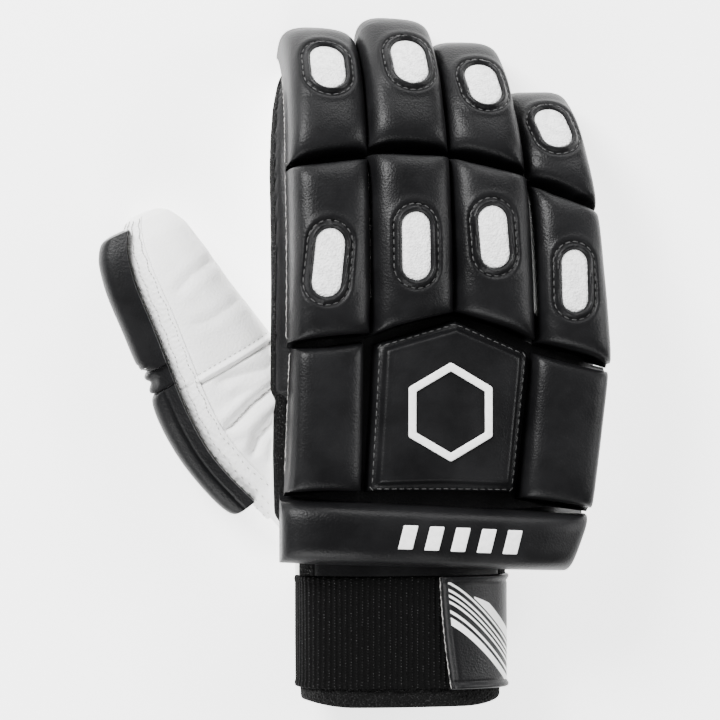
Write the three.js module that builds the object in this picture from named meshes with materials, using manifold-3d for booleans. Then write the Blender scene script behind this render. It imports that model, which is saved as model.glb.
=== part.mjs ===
// A right-hand cricket batting glove, lying palm down as it rests by itself.
// Millimetres. +Z is up through the back of the hand, +Y runs to the fingertips, and the thumb is on -X.
// A hollow hand shell of white palm leather, black mesh side strips and a black leather back carries
// foam pads covered in black leather. Below it are the wrist band, its strap and the strap's tab.

import * as THREE from 'three';
import { mergeVertices } from 'three/addons/utils/BufferGeometryUtils.js';
import Module from 'manifold-3d';

const wasm = await Module();
wasm.setup();

// Driving dimensions
const FINGER_PITCH = 33.2;      // between two fingers' centre lines at the knuckles
const MID_LENGTH = 66.6;        // middle finger, knuckle to the pad joint, seen from above
const TIP_LENGTH = 58;          // middle finger, pad joint to the fingertip, seen from above
const BACK_HEIGHT = 42;         // the back leather above the table at the knuckles
const STALL_WIDTH = 25;         // a finger stall, outside
const STALL_DEPTH = 22;         // a finger stall from back to palm, at the knuckles
const INDEX_FLARE = 7;          // how much wider the index stall is, on the thumb side
const LEATHER = 2;              // palm, back and side walls, with their lining
const PALM_LENGTH = 118;        // knuckles to the wrist end of the hand shell
const PALM_WIDTH = 131;         // the hand shell at the knuckles
const PAD_WIDTH = 30.5;         // a finger pad at its foot
const PAD_HEIGHT = 18;          // a finger pad above the back leather
const PANEL_HEIGHT = 13.5;      // the panels on the back of the hand
const CUFF_HEIGHT = 16;         // the padded roll at the wrist
const CUFF_LENGTH = 124;        // that roll from end to end
const CUFF_WIDTH = 25.5;        // and across
const GROOVE = 2.6;             // between neighbouring pads at their feet
const WINDOW_WIDTH = 12;        // the white inlay of a middle pad
const WINDOW_LENGTH = 27.5;
const TIP_WINDOW_WIDTH = 14.5;  // the white inlay of a tip pad
const TIP_WINDOW_LENGTH = 22;
const INLAY_THICKNESS = 3.5;
const INLAY_RECESS = 0.7;       // how far an inlay lies below the pad's leather
const BADGE_WIDTH = 34;         // the plain six-sided frame on the middle panel, across its flats
const BADGE_BAND = 3;
const BADGE_RISE = 1;
const WRIST_WIDTH = 81;         // the wrist band, outside
const WRIST_DEPTH = 39;
const WRIST_CENTRE = 1;         // how far the wrist lies towards the little finger
const BAND_LENGTH = 61;
const BAND_WALL = 2;
const NECK_LENGTH = 10;         // the hand shell's straight end, around the wrist band
const NECK_LAP = 0.85;          // how far the band runs up inside it, as a share of its length
const STRAP_LENGTH = 44.5;      // the elastic strap, along the arm
const STRAP_WALL = 2;
const TAB_WALL = 1.6;
const TAB_LENGTH = 45.5;
const THUMB_LENGTH = 123;       // thumb stall, along its middle line
const THUMB_WIDTH = 44;
const THUMB_DEPTH = 34;
const GUARD_HEIGHT = 10.5;      // thumb guard pads, outwards from the stall
const GUARD_WIDTH = 31;
const BINDING_WIDTH = 5;
const BINDING_THICKNESS = 1.2;
const SEAM_GAP = 0.3;           // left between pieces that are sewn together
const TABLE = 0;                // the surface that the glove lies on

// Each finger: its lane in pitches at the knuckle, the joint and the tip, where its knuckle lies and how
// long its two pads are as shares of the middle finger's, its pad's width as shares of the pad width, and
// the slope of each pad end, as rise per run towards the little finger.
const FINGERS = [
  { name: 'index', lane: [-1.02, -1, -0.935], start: 0.01, mid: 1.04, tip: 0.98, drop: 0.02,
    width: [1, 0.99, 0.96], slope: [0.13, 0.15, -0.03], stall: 1, flare: 1 },
  { name: 'middle', lane: [0, 0, 0.02], start: 0.1, mid: 1, tip: 1, drop: 0,
    width: [1.02, 0.985, 0.96], slope: [0.28, -0.02, -0.22], stall: 1, flare: 0 },
  { name: 'ring', lane: [1.01, 0.975, 0.91], start: 0.09, mid: 0.935, tip: 0.92, drop: 0.02,
    width: [0.99, 0.97, 0.94], slope: [-0.36, -0.26, -0.36], stall: 0.98, flare: 0 },
  { name: 'little', lane: [2.02, 1.935, 1.83], start: -0.08, mid: 0.91, tip: 0.8, drop: 0.06,
    width: [0.93, 0.87, 0.87], slope: [-0.34, -0.44, -0.5], stall: 0.88, flare: 0 },
];

// A finger's side view. along is 0 at the knuckle, 1 at the joint and 2 at the stall's tip; height is the
// back leather's as a share of the back height; depth and width are shares of the stall's.
const FINGER_PROFILE = [
  { along: -0.3, height: 1, depth: 0.95, width: 1 },
  { along: 0, height: 1, depth: 1, width: 1 },
  { along: 0.5, height: 0.98, depth: 0.97, width: 1 },
  { along: 1, height: 0.86, depth: 0.92, width: 1 },
  { along: 1.35, height: 0.72, depth: 0.87, width: 0.97 },
  { along: 1.65, height: 0.54, depth: 0.79, width: 0.9 },
  { along: 1.85, height: 0.34, depth: 0.66, width: 0.78 },
  { along: 1.96, height: 0.175, depth: 0.48, width: 0.6 },
  { along: 2, height: 0.06, depth: 0.2, width: 0.34 },
];

// The hand shell from the finger webs to the wrist. at is a share of the palm length, positive towards the
// fingers; left and right are shares of the palm width; back and sole are shares of the back height.
const PALM_PROFILE = [
  { at: 0.16, left: -0.39, right: 0.575, back: 0.97, sole: 0.55, bow: 1 },
  { at: 0.07, left: -0.4, right: 0.592, back: 1, sole: 0.4, bow: 1 },
  { at: -0.14, left: -0.395, right: 0.585, back: 1, sole: 0.18, bow: 0.3 },
  { at: -0.38, left: -0.4, right: 0.55, back: 1, sole: -0.03, bow: 0 },
  { at: -0.58, left: -0.395, right: 0.48, back: 0.99, sole: -0.03, bow: 0 },
];
const NECK_END = -0.785;        // the shell's wrist end, as at above
const WEB_BOW = 0.13;           // how far the shell's front falls back at the little finger, over the palm length

// The thumb's middle line from inside the palm to its tip, as shares of the thumb's length from the point
// where the line starts, with the stall's width and depth as shares of the thumb's.
const THUMB_ROOT = { x: -36, y: -58 };
const THUMB_PROFILE = [
  { x: 0, y: 0, rise: 0.38, width: 0.88, depth: 0.66 },
  { x: -0.16, y: 0.2, rise: 0.42, width: 1.06, depth: 0.76 },
  { x: -0.24, y: 0.34, rise: 0.46, width: 1.08, depth: 0.86 },
  { x: -0.315, y: 0.47, rise: 0.475, width: 0.96, depth: 0.95 },
  { x: -0.386, y: 0.592, rise: 0.497, width: 0.836, depth: 1 },
  { x: -0.461, y: 0.724, rise: 0.52, width: 0.745, depth: 0.96 },
  { x: -0.505, y: 0.82, rise: 0.51, width: 0.62, depth: 0.78 },
  { x: -0.53, y: 0.875, rise: 0.5, width: 0.42, depth: 0.5 },
  { x: -0.54, y: 0.9, rise: 0.5, width: 0.2, depth: 0.24 },
];

// The two thumb guard pads and the leather hinge between them, as stretches of the thumb's outer edge from 0 at its root to 1 at its tip.
const THUMB_GUARDS = [
  { name: 'thumb_guard_base', from: 0.04, to: 0.338, width: [0.72, 1], height: 0.95 },
  { name: 'thumb_guard_hinge', from: 0.345, to: 0.394, width: [0.9, 0.9], height: 0.6 },
  { name: 'thumb_guard_tip', from: 0.401, to: 0.895, width: [1, 0.86], height: 1 },
];
const BINDING_PLACE = { from: 0.06, to: 0.95, angle: 118 };  // its stretch, and how far round the stall it lies
const GUARD_ROLL = 14;          // degrees that the guard faces down from level

// The panels on the back of the hand: corners from above, as shares of the finger pitch across and of the
// palm length along, in the order bottom left, bottom right, top right, top left, and the top edge's peak.
const PANELS = [
  { name: 'index_panel', corners: [[-1.5, -0.5], [-0.615, -0.5], [-0.585, 0.004], [-1.43, -0.02]], peak: null },
  { name: 'badge_panel', corners: [[-0.54, -0.5], [1.25, -0.505], [1.42, -0.035], [-0.44, -0.005]],
    peak: { u: 0.03, y: 0.075 } },
  { name: 'outer_panel', corners: [[1.33, -0.525], [2.24, -0.56], [2.44, -0.098], [1.51, -0.035]], peak: null },
];

// The white inlays. side moves one off its pad's middle as a share of the pad's half width, along is a share
// of the pad's length, turn is in degrees, and width and length are shares of the named window sizes.
const MID_WINDOWS = [
  { side: -0.13, along: 0.43, turn: -6, width: 1, length: 1 },
  { side: -0.02, along: 0.455, turn: 0, width: 0.98, length: 1 },
  { side: -0.09, along: 0.54, turn: 2, width: 1, length: 0.92 },
  { side: -0.07, along: 0.455, turn: -3, width: 0.9, length: 0.92 },
];
const TIP_WINDOWS = [
  { side: 0.02, along: 0.66, turn: 0, width: 0.98, length: 1 },
  { side: 0.1, along: 0.64, turn: 3, width: 1, length: 1 },
  { side: 0.12, along: 0.62, turn: 5, width: 0.93, length: 0.95 },
  { side: 0.04, along: 0.6, turn: 6, width: 0.88, length: 0.95 },
];

const UP = new THREE.Vector3(0, 0, 1);
const v3 = (x, y, z) => new THREE.Vector3(x, y, z);

// A value read from a table at a place between its rows.
function readTable(rows, key, at, column) {
  const last = rows.length - 1;
  const rising = rows[last][key] > rows[0][key];
  let i = 0;
  while (i < last - 1 && (rising ? rows[i + 1][key] < at : rows[i + 1][key] > at)) i += 1;
  const share = (at - rows[i][key]) / (rows[i + 1][key] - rows[i][key]);
  return rows[i][column] + THREE.MathUtils.clamp(share, 0, 1) * (rows[i + 1][column] - rows[i][column]);
}

// Solids, by way of manifold-3d
function solidFrom(points, triangles) {
  const geometry = new THREE.BufferGeometry();
  const flat = points.flatMap((p) => [p.x, p.y, p.z]);
  geometry.setAttribute('position', new THREE.Float32BufferAttribute(flat, 3));
  geometry.setIndex(triangles);
  return toSolid(geometry);
}

function toSolid(geometry, weld = 1e-4) {
  const bare = geometry.clone();
  for (const name of Object.keys(bare.attributes)) if (name !== 'position') bare.deleteAttribute(name);
  const merged = mergeVertices(bare, weld);
  const make = (flip) => {
    const triVerts = new Uint32Array(merged.index.array);
    if (flip) for (let i = 0; i < triVerts.length; i += 3) {
      [triVerts[i + 1], triVerts[i + 2]] = [triVerts[i + 2], triVerts[i + 1]];
    }
    const vertProperties = merged.attributes.position.array;
    return new wasm.Manifold(new wasm.Mesh({ numProp: 3, vertProperties, triVerts }));
  };
  const solid = make(false);
  return solid.volume() < 0 ? make(true) : solid;
}

function toGeometry(solid) {
  const mesh = solid.getMesh();
  const geometry = new THREE.BufferGeometry();
  geometry.setAttribute('position', new THREE.BufferAttribute(new Float32Array(mesh.vertProperties), 3));
  geometry.setIndex(new THREE.BufferAttribute(new Uint32Array(mesh.triVerts), 1));
  const flat = geometry.toNonIndexed();
  flat.computeVertexNormals();
  return flat;
}

// A closed solid through rings that all have as many points, with a flat cap on each end.
function loft(rings) {
  const count = rings[0].length;
  const points = rings.flat();
  const triangles = [];
  for (let r = 0; r + 1 < rings.length; r += 1) {
    for (let k = 0; k < count; k += 1) {
      const a = r * count + k;
      const b = r * count + (k + 1) % count;
      triangles.push(a, b, b + count, a, b + count, a + count);
    }
  }
  for (const [start, turn] of [[0, true], [(rings.length - 1) * count, false]]) {
    const middle = points.length;
    const ring = points.slice(start, start + count);
    points.push(ring.reduce((sum, p) => sum.add(p), v3(0, 0, 0)).divideScalar(count));
    for (let k = 0; k < count; k += 1) {
      const [a, b] = [start + k, start + (k + 1) % count];
      triangles.push(...(turn ? [middle, b, a] : [middle, a, b]));
    }
  }
  return solidFrom(points, triangles);
}

// A ring of the rounded-box kind: half sizes along two directions, squarer as power grows.
function roundedRing(centre, across, upward, halfWidth, halfDepth, power, count) {
  return Array.from({ length: count }, (_, k) => {
    const angle = ((k + 0.5) / count) * 2 * Math.PI;
    const [c, s] = [Math.cos(angle), Math.sin(angle)];
    const scale = (Math.abs(c) ** power + Math.abs(s) ** power) ** (-1 / power);
    return centre.clone().addScaledVector(across, halfWidth * c * scale)
      .addScaledVector(upward, halfDepth * s * scale);
  });
}

const SPAN = 400;               // longer than the glove in any direction
const SLIVER = 5e-3;            // corners closer than this are one
function slab(low, high) {
  const box = new THREE.BoxGeometry(SPAN, SPAN, high - low);
  box.translate(0, 0, (low + high) / 2);
  return toSolid(box);
}

// Fingers: the dorsal line, and a frame at any place along it
function fingerLine(finger) {
  const lane = finger.lane.map((share) => share * FINGER_PITCH);
  const knuckle = finger.start * MID_LENGTH;
  const joint = knuckle + finger.mid * MID_LENGTH;
  const stallTip = joint + finger.tip * TIP_LENGTH - TIP_PAD_WRAP;
  const place = (along) => {
    const near = along < 1;
    const share = near ? along : along - 1;
    const [x0, x1] = near ? [lane[0], lane[1]] : [lane[1], lane[2]];
    const [y0, y1] = near ? [knuckle, joint] : [joint, stallTip];
    const height = readTable(FINGER_PROFILE, 'along', along, 'height');
    const fade = 1 - finger.drop * THREE.MathUtils.clamp(along, 0, 1);
    return v3(x0 + share * (x1 - x0), y0 + share * (y1 - y0), TABLE + BACK_HEIGHT * height * fade);
  };
  return { place, knuckle, joint, stallTip };
}
const TIP_PAD_WRAP = 0.62 * PAD_HEIGHT;   // the tip pad's thickness in front of the fingertip

// A smooth curve through the profile's rows, read by the same along values.
function fingerFrames(finger) {
  const line = fingerLine(finger);
  const rows = FINGER_PROFILE.map((row) => row.along);
  const curve = new THREE.CatmullRomCurve3(rows.map(line.place), false, 'centripetal');
  return (along) => {
    let i = 0;
    while (i < rows.length - 2 && rows[i + 1] < along) i += 1;
    const t = (i + (along - rows[i]) / (rows[i + 1] - rows[i])) / (rows.length - 1);
    const point = curve.getPoint(THREE.MathUtils.clamp(t, 0, 1));
    const tangent = curve.getTangent(THREE.MathUtils.clamp(t, 0, 1)).normalize();
    const across = tangent.clone().cross(UP).normalize();
    return { point, tangent, across, normal: across.clone().cross(tangent).normalize() };
  };
}

function fingerStall(finger, inset, grow) {
  const frames = fingerFrames(finger);
  const last = FINGER_PROFILE.length - 1;
  const rings = FINGER_PROFILE.map((row, i) => {
    const reach = inset > 0 && i === last ? row.along - 0.012 : row.along;
    const frame = frames(reach);
    const flare = finger.flare * INDEX_FLARE * row.width;
    const thin = i === last ? 0.5 : 1;
    const halfDepth = (STALL_DEPTH * row.depth) / 2 - inset * thin + grow;
    const halfWidth = (STALL_WIDTH * finger.stall * row.width + flare) / 2 - inset * thin + grow;
    const centre = frame.point.clone().addScaledVector(frame.normal, -(STALL_DEPTH * row.depth) / 2)
      .addScaledVector(frame.across, -flare / 2);
    return roundedRing(centre, frame.across, frame.normal, halfWidth, halfDepth, 2.8, 8);
  });
  return loft(rings);
}

// The hand shell's body, and the wrist
const palmY = (at) => at * PALM_LENGTH;
const neckEnd = palmY(NECK_END);
function webBow(x, bow) {
  const share = Math.max(0, x) / (PALM_WIDTH * 0.6);
  return -WEB_BOW * PALM_LENGTH * bow * share * share;
}

function wristRing(y, grow, floor = TABLE) {
  const lift = STRAP_WALL + TAB_WALL + SEAM_GAP;
  const centre = v3(WRIST_CENTRE, y, Math.max(floor, TABLE) + lift + SEAM_GAP + WRIST_DEPTH / 2);
  return roundedRing(centre, v3(1, 0, 0), UP, WRIST_WIDTH / 2 + grow, WRIST_DEPTH / 2 + grow, 2.4, 20);
}

function palmBody(inset, grow) {
  const out = grow - inset;
  const rings = PALM_PROFILE.map((row) => {
    const [left, right] = [row.left * PALM_WIDTH - out, row.right * PALM_WIDTH + out];
    const [back, sole] = [row.back * BACK_HEIGHT + out, row.sole * BACK_HEIGHT - out];
    const front = row === PALM_PROFILE[0] ? out : 0;
    const centre = v3((left + right) / 2, palmY(row.at) + front, TABLE + (back + sole) / 2);
    const ring = roundedRing(centre, v3(1, 0, 0), UP, (right - left) / 2, (back - sole) / 2, 4.2, 20);
    return ring.map((p) => v3(p.x, p.y + webBow(p.x, row.bow), p.z));
  });
  const past = inset > 0 ? LEATHER : 0;
  rings.push(wristRing(neckEnd + NECK_LENGTH, LEATHER + SEAM_GAP + out));
  rings.push(wristRing(neckEnd - past, LEATHER + SEAM_GAP + out));
  return loft(rings);
}

// The thumb: a frame at each row, then its stall
function thumbPoints() {
  return THUMB_PROFILE.map((row) => v3(
    THUMB_ROOT.x + row.x * THUMB_LENGTH,
    THUMB_ROOT.y + row.y * THUMB_LENGTH,
    TABLE + row.rise * THUMB_DEPTH,
  ));
}

function thumbFrame(share) {
  const curve = new THREE.CatmullRomCurve3(thumbPoints(), false, 'centripetal');
  const t = THREE.MathUtils.clamp(share, 0, 1);
  const point = curve.getPoint(t);
  const tangent = curve.getTangent(t);
  tangent.z = 0;
  tangent.normalize();
  const row = t * (THUMB_PROFILE.length - 1);
  const i = Math.min(Math.floor(row), THUMB_PROFILE.length - 2);
  const mix = (key) => THREE.MathUtils.lerp(THUMB_PROFILE[i][key], THUMB_PROFILE[i + 1][key], row - i);
  return {
    point, tangent, across: tangent.clone().cross(UP).normalize(), normal: UP.clone(),
    halfWidth: (mix('width') * THUMB_WIDTH) / 2, halfDepth: (mix('depth') * THUMB_DEPTH) / 2,
  };
}

function thumbBody(inset, grow) {
  const last = THUMB_PROFILE.length - 1;
  const rings = THUMB_PROFILE.map((row, i) => {
    const frame = thumbFrame(i / last);
    const thin = i === last ? 0.5 : 1;
    const out = grow - inset * thin;
    const centre = frame.point.clone().addScaledVector(frame.tangent, i === last ? -inset : 0);
    return roundedRing(centre, frame.across, UP, frame.halfWidth + out, frame.halfDepth + out, 2.5, 12);
  });
  return loft(rings);
}

// Pads: one closed cushion between a foot outline and a crowned top. spot(u, v) gives the foot's point and
// normal, with u and v from -1 to 1; the top falls to the foot at the outline.
const edgeFall = (t, power) => Math.max(0, 1 - Math.abs(t) ** power) ** (1 / power);

function cushion({ spot, height, across, along, skirt, us, vs }) {
  const count = us.length;
  const points = [];
  const top = (i, j) => i * count + j;
  for (const v of vs) {
    for (const u of us) {
      const { point, normal } = spot(u, v);
      const crown = 0.94 + 0.06 * (1 - u * u);
      points.push(point.clone().addScaledVector(normal, height * crown * edgeFall(u, across) * edgeFall(v, along)));
    }
  }
  const triangles = [];
  for (let i = 0; i + 1 < vs.length; i += 1) {
    for (let j = 0; j + 1 < count; j += 1) {
      const [a, b, c, d] = [top(i, j), top(i, j + 1), top(i + 1, j + 1), top(i + 1, j)];
      triangles.push(a, b, c, a, c, d);
    }
  }
  // The foot: the outline again, a skirt's depth below, closed by a strip from side to side.
  const rim = [];
  for (let j = 0; j < count; j += 1) rim.push([0, j]);
  for (let i = 1; i < vs.length; i += 1) rim.push([i, count - 1]);
  for (let j = count - 2; j >= 0; j -= 1) rim.push([vs.length - 1, j]);
  for (let i = vs.length - 2; i > 0; i -= 1) rim.push([i, 0]);
  const foot = points.length;
  for (const [i, j] of rim) {
    const { point, normal } = spot(us[j], vs[i]);
    points.push(point.clone().addScaledVector(normal, -skirt));
  }
  rim.forEach(([i, j], k) => {
    const next = (k + 1) % rim.length;
    const [a, b] = [top(i, j), top(...rim[next])];
    triangles.push(a, foot + k, foot + next, a, foot + next, b);
  });
  const find = (i, j) => foot + rim.findIndex(([a, b]) => a === i && b === j);
  for (let i = 0; i + 1 < vs.length; i += 1) {
    const lower = i === 0 ? us.map((_, j) => find(0, j)) : [find(i, 0), find(i, count - 1)];
    const upper = i === vs.length - 2
      ? us.map((_, j) => find(vs.length - 1, j)) : [find(i + 1, 0), find(i + 1, count - 1)];
    for (let k = 0; k + 1 < lower.length; k += 1) triangles.push(lower[k], upper[0], lower[k + 1]);
    for (let k = 0; k + 1 < upper.length; k += 1) {
      triangles.push(upper[k], upper[k + 1], lower[lower.length - 1]);
    }
  }
  return solidFrom(points, triangles);
}

const WIDE_STEPS = [-1, -0.94, -0.7, 0, 0.7, 0.94, 1];
const LONG_STEPS = [-1, -0.965, -0.8, -0.4, 0, 0.4, 0.8, 0.965, 1];
const PAD_SKIRT = 2.5;          // the panels' and roll's edge below the back leather's top line
const FOOT_EDGE = 1;            // a finger pad's edge, which stands clear of the stall's crown by FOOT_LIFT
const FOOT_LIFT = 0.8;
const FOOT_PINCH = 0.03;        // how far a pad's sides pull in between its corners, over its half width

// Where a finger pad's foot lies. part 0 is the middle pad and 1 the tip pad.
function padSpot(finger, part) {
  const frames = fingerFrames(finger);
  const { knuckle, joint, stallTip } = fingerLine(finger);
  const from = (part === 0 ? knuckle : joint) + GROOVE / 2;
  const to = part === 0 ? joint - GROOVE / 2 : stallTip;
  const alongAt = (y) => (y < joint ? (y - knuckle) / (joint - knuckle) : 1 + (y - joint) / (stallTip - joint));
  return (u, v) => {
    const share = (v + 1) / 2;
    const halfWidth = (PAD_WIDTH * THREE.MathUtils.lerp(finger.width[part], finger.width[part + 1], share)) / 2;
    const slope = THREE.MathUtils.lerp(finger.slope[part], finger.slope[part + 1], share);
    const endFade = part === 1 ? 1 - share ** 3 : 1;
    const y = from + share * (to - from) + u * halfWidth * slope * endFade;
    const frame = frames(Math.min(alongAt(y), 2));
    const pinch = 1 - FOOT_PINCH * (1 - v ** 4);
    return {
      point: frame.point.clone().addScaledVector(frame.across, u * halfWidth * pinch)
        .addScaledVector(frame.normal, FOOT_EDGE + FOOT_LIFT),
      normal: frame.normal, across: frame.across, tangent: frame.tangent,
    };
  };
}

// The height of the back leather over the hand, and a panel's foot on it.
function backHeight(y) {
  return TABLE + BACK_HEIGHT * readTable(PALM_PROFILE, 'at', y / PALM_LENGTH, 'back');
}

function panelSpot(panel) {
  const [[x0, y0], [x1, y1], [x2, y2], [x3, y3]] = panel.corners.map(
    ([x, y]) => [x * FINGER_PITCH, y * PALM_LENGTH],
  );
  const edge = (u) => {
    const share = (u + 1) / 2;
    if (!panel.peak) return y3 + share * (y2 - y3);
    const peakY = panel.peak.y * PALM_LENGTH;
    return u < panel.peak.u
      ? y3 + ((u + 1) / (panel.peak.u + 1)) * (peakY - y3)
      : peakY + ((u - panel.peak.u) / (1 - panel.peak.u)) * (y2 - peakY);
  };
  return (u, v) => {
    const [s, t] = [(u + 1) / 2, (v + 1) / 2];
    const x = (1 - t) * (x0 + s * (x1 - x0)) + t * (x3 + s * (x2 - x3));
    const y = (1 - t) * (y0 + s * (y1 - y0)) + t * edge(u);
    return { point: v3(x, y, backHeight(y)), normal: UP.clone(), across: v3(1, 0, 0), tangent: v3(0, 1, 0) };
  };
}

// The roll across the wrist, bent down a little at both ends.
const CUFF_ENDS = { left: -0.411, slopeTop: -0.055, slopeFoot: -0.035 };
const CUFF_TOP_GAP = GROOVE;
function cuffSpot() {
  const left = CUFF_ENDS.left * CUFF_LENGTH;
  const top = -0.5 * PALM_LENGTH - CUFF_TOP_GAP;
  return (u, v) => {
    const run = ((u + 1) / 2) * CUFF_LENGTH;
    const t = (v + 1) / 2;
    const taper = 1 - 0.07 * (1 - t) * (1 + u) / 2;
    const yTop = top + CUFF_ENDS.slopeTop * run;
    const yFoot = top - CUFF_WIDTH + CUFF_ENDS.slopeFoot * run;
    const fall = 0.12 * Math.abs(u) ** 5;
    const y = yFoot + t * (yTop - yFoot);
    const point = v3(left + run * taper, y, backHeight(y) * (1 - fall));
    return { point, normal: v3(u * 0.12, 0, 1).normalize(), across: v3(1, 0, 0), tangent: v3(0, 1, 0) };
  };
}

// Inlays: an oval cut along the pad's own normal
function ovalPrism(centre, frame, turn, halfWidth, halfLength, depth) {
  const round = Math.min(halfWidth, halfLength);
  const straight = halfLength - round;
  const shape = new THREE.Shape();
  shape.absarc(0, straight, round, 0, Math.PI, false);
  shape.absarc(0, -straight, round, Math.PI, 2 * Math.PI, false);
  const geometry = new THREE.ExtrudeGeometry(shape, { depth: 2 * depth, bevelEnabled: false, curveSegments: 7 });
  geometry.translate(0, 0, -depth);
  geometry.rotateZ(THREE.MathUtils.degToRad(turn));
  const along = frame.normal.clone().cross(frame.across).normalize();
  const basis = new THREE.Matrix4().makeBasis(frame.across, along, frame.normal).setPosition(centre);
  geometry.applyMatrix4(basis);
  return toSolid(geometry);
}

function fitWindow(raw, spot, height, window, width, length) {
  const at = spot(window.side, window.along * 2 - 1);
  const centre = at.point.clone().addScaledVector(at.normal, height);
  const half = [(window.width * width) / 2, (window.length * length) / 2];
  const floor = INLAY_RECESS + INLAY_THICKNESS;
  const cut = (shrink, low) => {
    const middle = centre.clone().addScaledVector(at.normal, height / 2 - low);
    return ovalPrism(middle, at, window.turn, half[0] - shrink, half[1] - shrink, height / 2);
  };
  const sunk = raw.translate(at.normal.clone().multiplyScalar(-INLAY_RECESS).toArray());
  return {
    pad: raw.subtract(cut(0, floor + SEAM_GAP)),
    inlay: cut(SEAM_GAP, floor).intersect(sunk),
  };
}

// The plain six-sided frame that stands on the middle panel
function badgeFrame(raw) {
  const corners = (half) => Array.from({ length: 6 }, (_, k) => {
    const angle = (k / 6) * 2 * Math.PI + Math.PI / 6;
    return new THREE.Vector2(Math.cos(angle), Math.sin(angle)).multiplyScalar(half / Math.cos(Math.PI / 6));
  });
  const shape = new THREE.Shape(corners(BADGE_WIDTH / 2));
  shape.holes.push(new THREE.Path(corners(BADGE_WIDTH / 2 - BADGE_BAND)));
  const prism = new THREE.ExtrudeGeometry(shape, { depth: BACK_HEIGHT, bevelEnabled: false });
  prism.translate(BADGE_PLACE.x * FINGER_PITCH, BADGE_PLACE.y * PALM_LENGTH, BACK_HEIGHT);
  return toSolid(prism).intersect(raw.translate([0, 0, SEAM_GAP + BADGE_RISE])).subtract(
    raw.translate([0, 0, SEAM_GAP]),
  );
}
const BADGE_PLACE = { x: 0.43, y: -0.232 };

// Where the back leather, the side strips and the palm leather meet: a solid above a height that follows
// each finger. level is the share of the stall's depth below the back.
function above(level, shift) {
  const xs = [];
  const half = FINGER_PITCH / 2;
  FINGERS.forEach((finger, i) => {
    const middle = finger.lane[1] * FINGER_PITCH;
    xs.push([i === 0 ? -PALM_WIDTH : middle - half * 0.9, finger]);
    xs.push([i === FINGERS.length - 1 ? PALM_WIDTH : middle + half * 0.9, finger]);
  });
  const reach = MID_LENGTH + TIP_LENGTH;
  const steps = [0.15, 0.4, 0.56, 0.66, 0.75, 0.83, 0.91, 1.1];
  const ys = [-PALM_LENGTH * 1.1, ...steps.map((share) => share * reach)];
  const heightAt = (finger, y) => {
    const line = fingerLine(finger);
    const rows = FINGER_PROFILE.map((row) => {
      const p = line.place(row.along);
      return { y: p.y, z: p.z - level * STALL_DEPTH * row.depth };
    });
    const webY = palmY(0.1);
    if (y < webY) {
      const floor = BACK_HEIGHT * readTable(PALM_PROFILE, 'at', y / PALM_LENGTH, 'back');
      return TABLE + floor - level * STALL_DEPTH + shift;
    }
    return readTable(rows, 'y', y, 'z') + shift;
  };
  const count = xs.length;
  const points = [];
  for (const y of ys) for (const [x, finger] of xs) points.push(v3(x, y, heightAt(finger, y)));
  const ceiling = points.length;
  for (const y of ys) for (const [x] of xs) points.push(v3(x, y, BACK_HEIGHT * 3));
  const triangles = [];
  for (let i = 0; i + 1 < ys.length; i += 1) {
    for (let j = 0; j + 1 < count; j += 1) {
      const [a, b, c, d] = [i * count + j, i * count + j + 1, (i + 1) * count + j + 1, (i + 1) * count + j];
      triangles.push(a, c, b, a, d, c);
      triangles.push(ceiling + a, ceiling + b, ceiling + c, ceiling + a, ceiling + c, ceiling + d);
    }
  }
  const edge = [];
  for (let j = 0; j + 1 < count; j += 1) edge.push([j, j + 1]);
  for (let i = 0; i + 1 < ys.length; i += 1) edge.push([i * count + count - 1, (i + 1) * count + count - 1]);
  for (let j = count - 1; j > 0; j -= 1) {
    edge.push([(ys.length - 1) * count + j, (ys.length - 1) * count + j - 1]);
  }
  for (let i = ys.length - 1; i > 0; i -= 1) edge.push([i * count, (i - 1) * count]);
  for (const [a, b] of edge) triangles.push(a, b, ceiling + b, a, ceiling + b, ceiling + a);
  return solidFrom(points, triangles);
}

// The hand shell in its pieces
const BACK_SEAM = 0.26;         // where the back leather ends on a stall's side, as a share of its depth
const PALM_SEAM = 0.62;         // and where the palm leather starts
const table = slab(TABLE, SPAN);
const innerFloor = slab(TABLE + LEATHER, SPAN);

const outerHand = FINGERS.map((f) => fingerStall(f, 0, 0)).reduce((a, b) => a.add(b), palmBody(0, 0))
  .intersect(table);
const grownHand = FINGERS.map((f) => fingerStall(f, 0, SEAM_GAP)).reduce(
  (a, b) => a.add(b), palmBody(0, SEAM_GAP),
);
const thumbHollow = thumbBody(LEATHER, 0).intersect(innerFloor);
const hollow = FINGERS.map((f) => fingerStall(f, LEATHER, 0)).reduce(
  (a, b) => a.add(b), palmBody(LEATHER, 0),
).intersect(innerFloor).add(thumbHollow);
const shell = outerHand.subtract(hollow);

const half = SEAM_GAP / 2;
const backLeather = shell.intersect(above(BACK_SEAM, half));
const sideBand = shell.subtract(above(BACK_SEAM, -half)).intersect(above(PALM_SEAM, half));
const palmLeather = shell.subtract(above(PALM_SEAM, -half));

// The side band is cut at each fingertip into the strips that a glove maker sews in.
function lanePrism(from, to) {
  const lower = -PALM_LENGTH;
  const upper = MID_LENGTH + TIP_LENGTH + FINGER_PITCH;
  const side = (finger, sign) => {
    const lane = finger.lane.map((share) => share * FINGER_PITCH + sign * half);
    const line = fingerLine(finger);
    return [[lane[0], lower], [lane[0], line.knuckle], [lane[1], line.joint], [lane[2], line.stallTip],
      [lane[2], upper]];
  };
  const left = from ? side(from, 1) : [[-SPAN / 2, lower], [-SPAN / 2, upper]];
  const right = to ? side(to, -1) : [[SPAN / 2, lower], [SPAN / 2, upper]];
  const outline = [...left, ...right.reverse()].map(([x, y]) => new THREE.Vector2(x, y));
  const prism = new THREE.ExtrudeGeometry(new THREE.Shape(outline), { depth: SPAN, bevelEnabled: false });
  prism.translate(0, 0, -SPAN / 2);
  return toSolid(prism);
}

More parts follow.
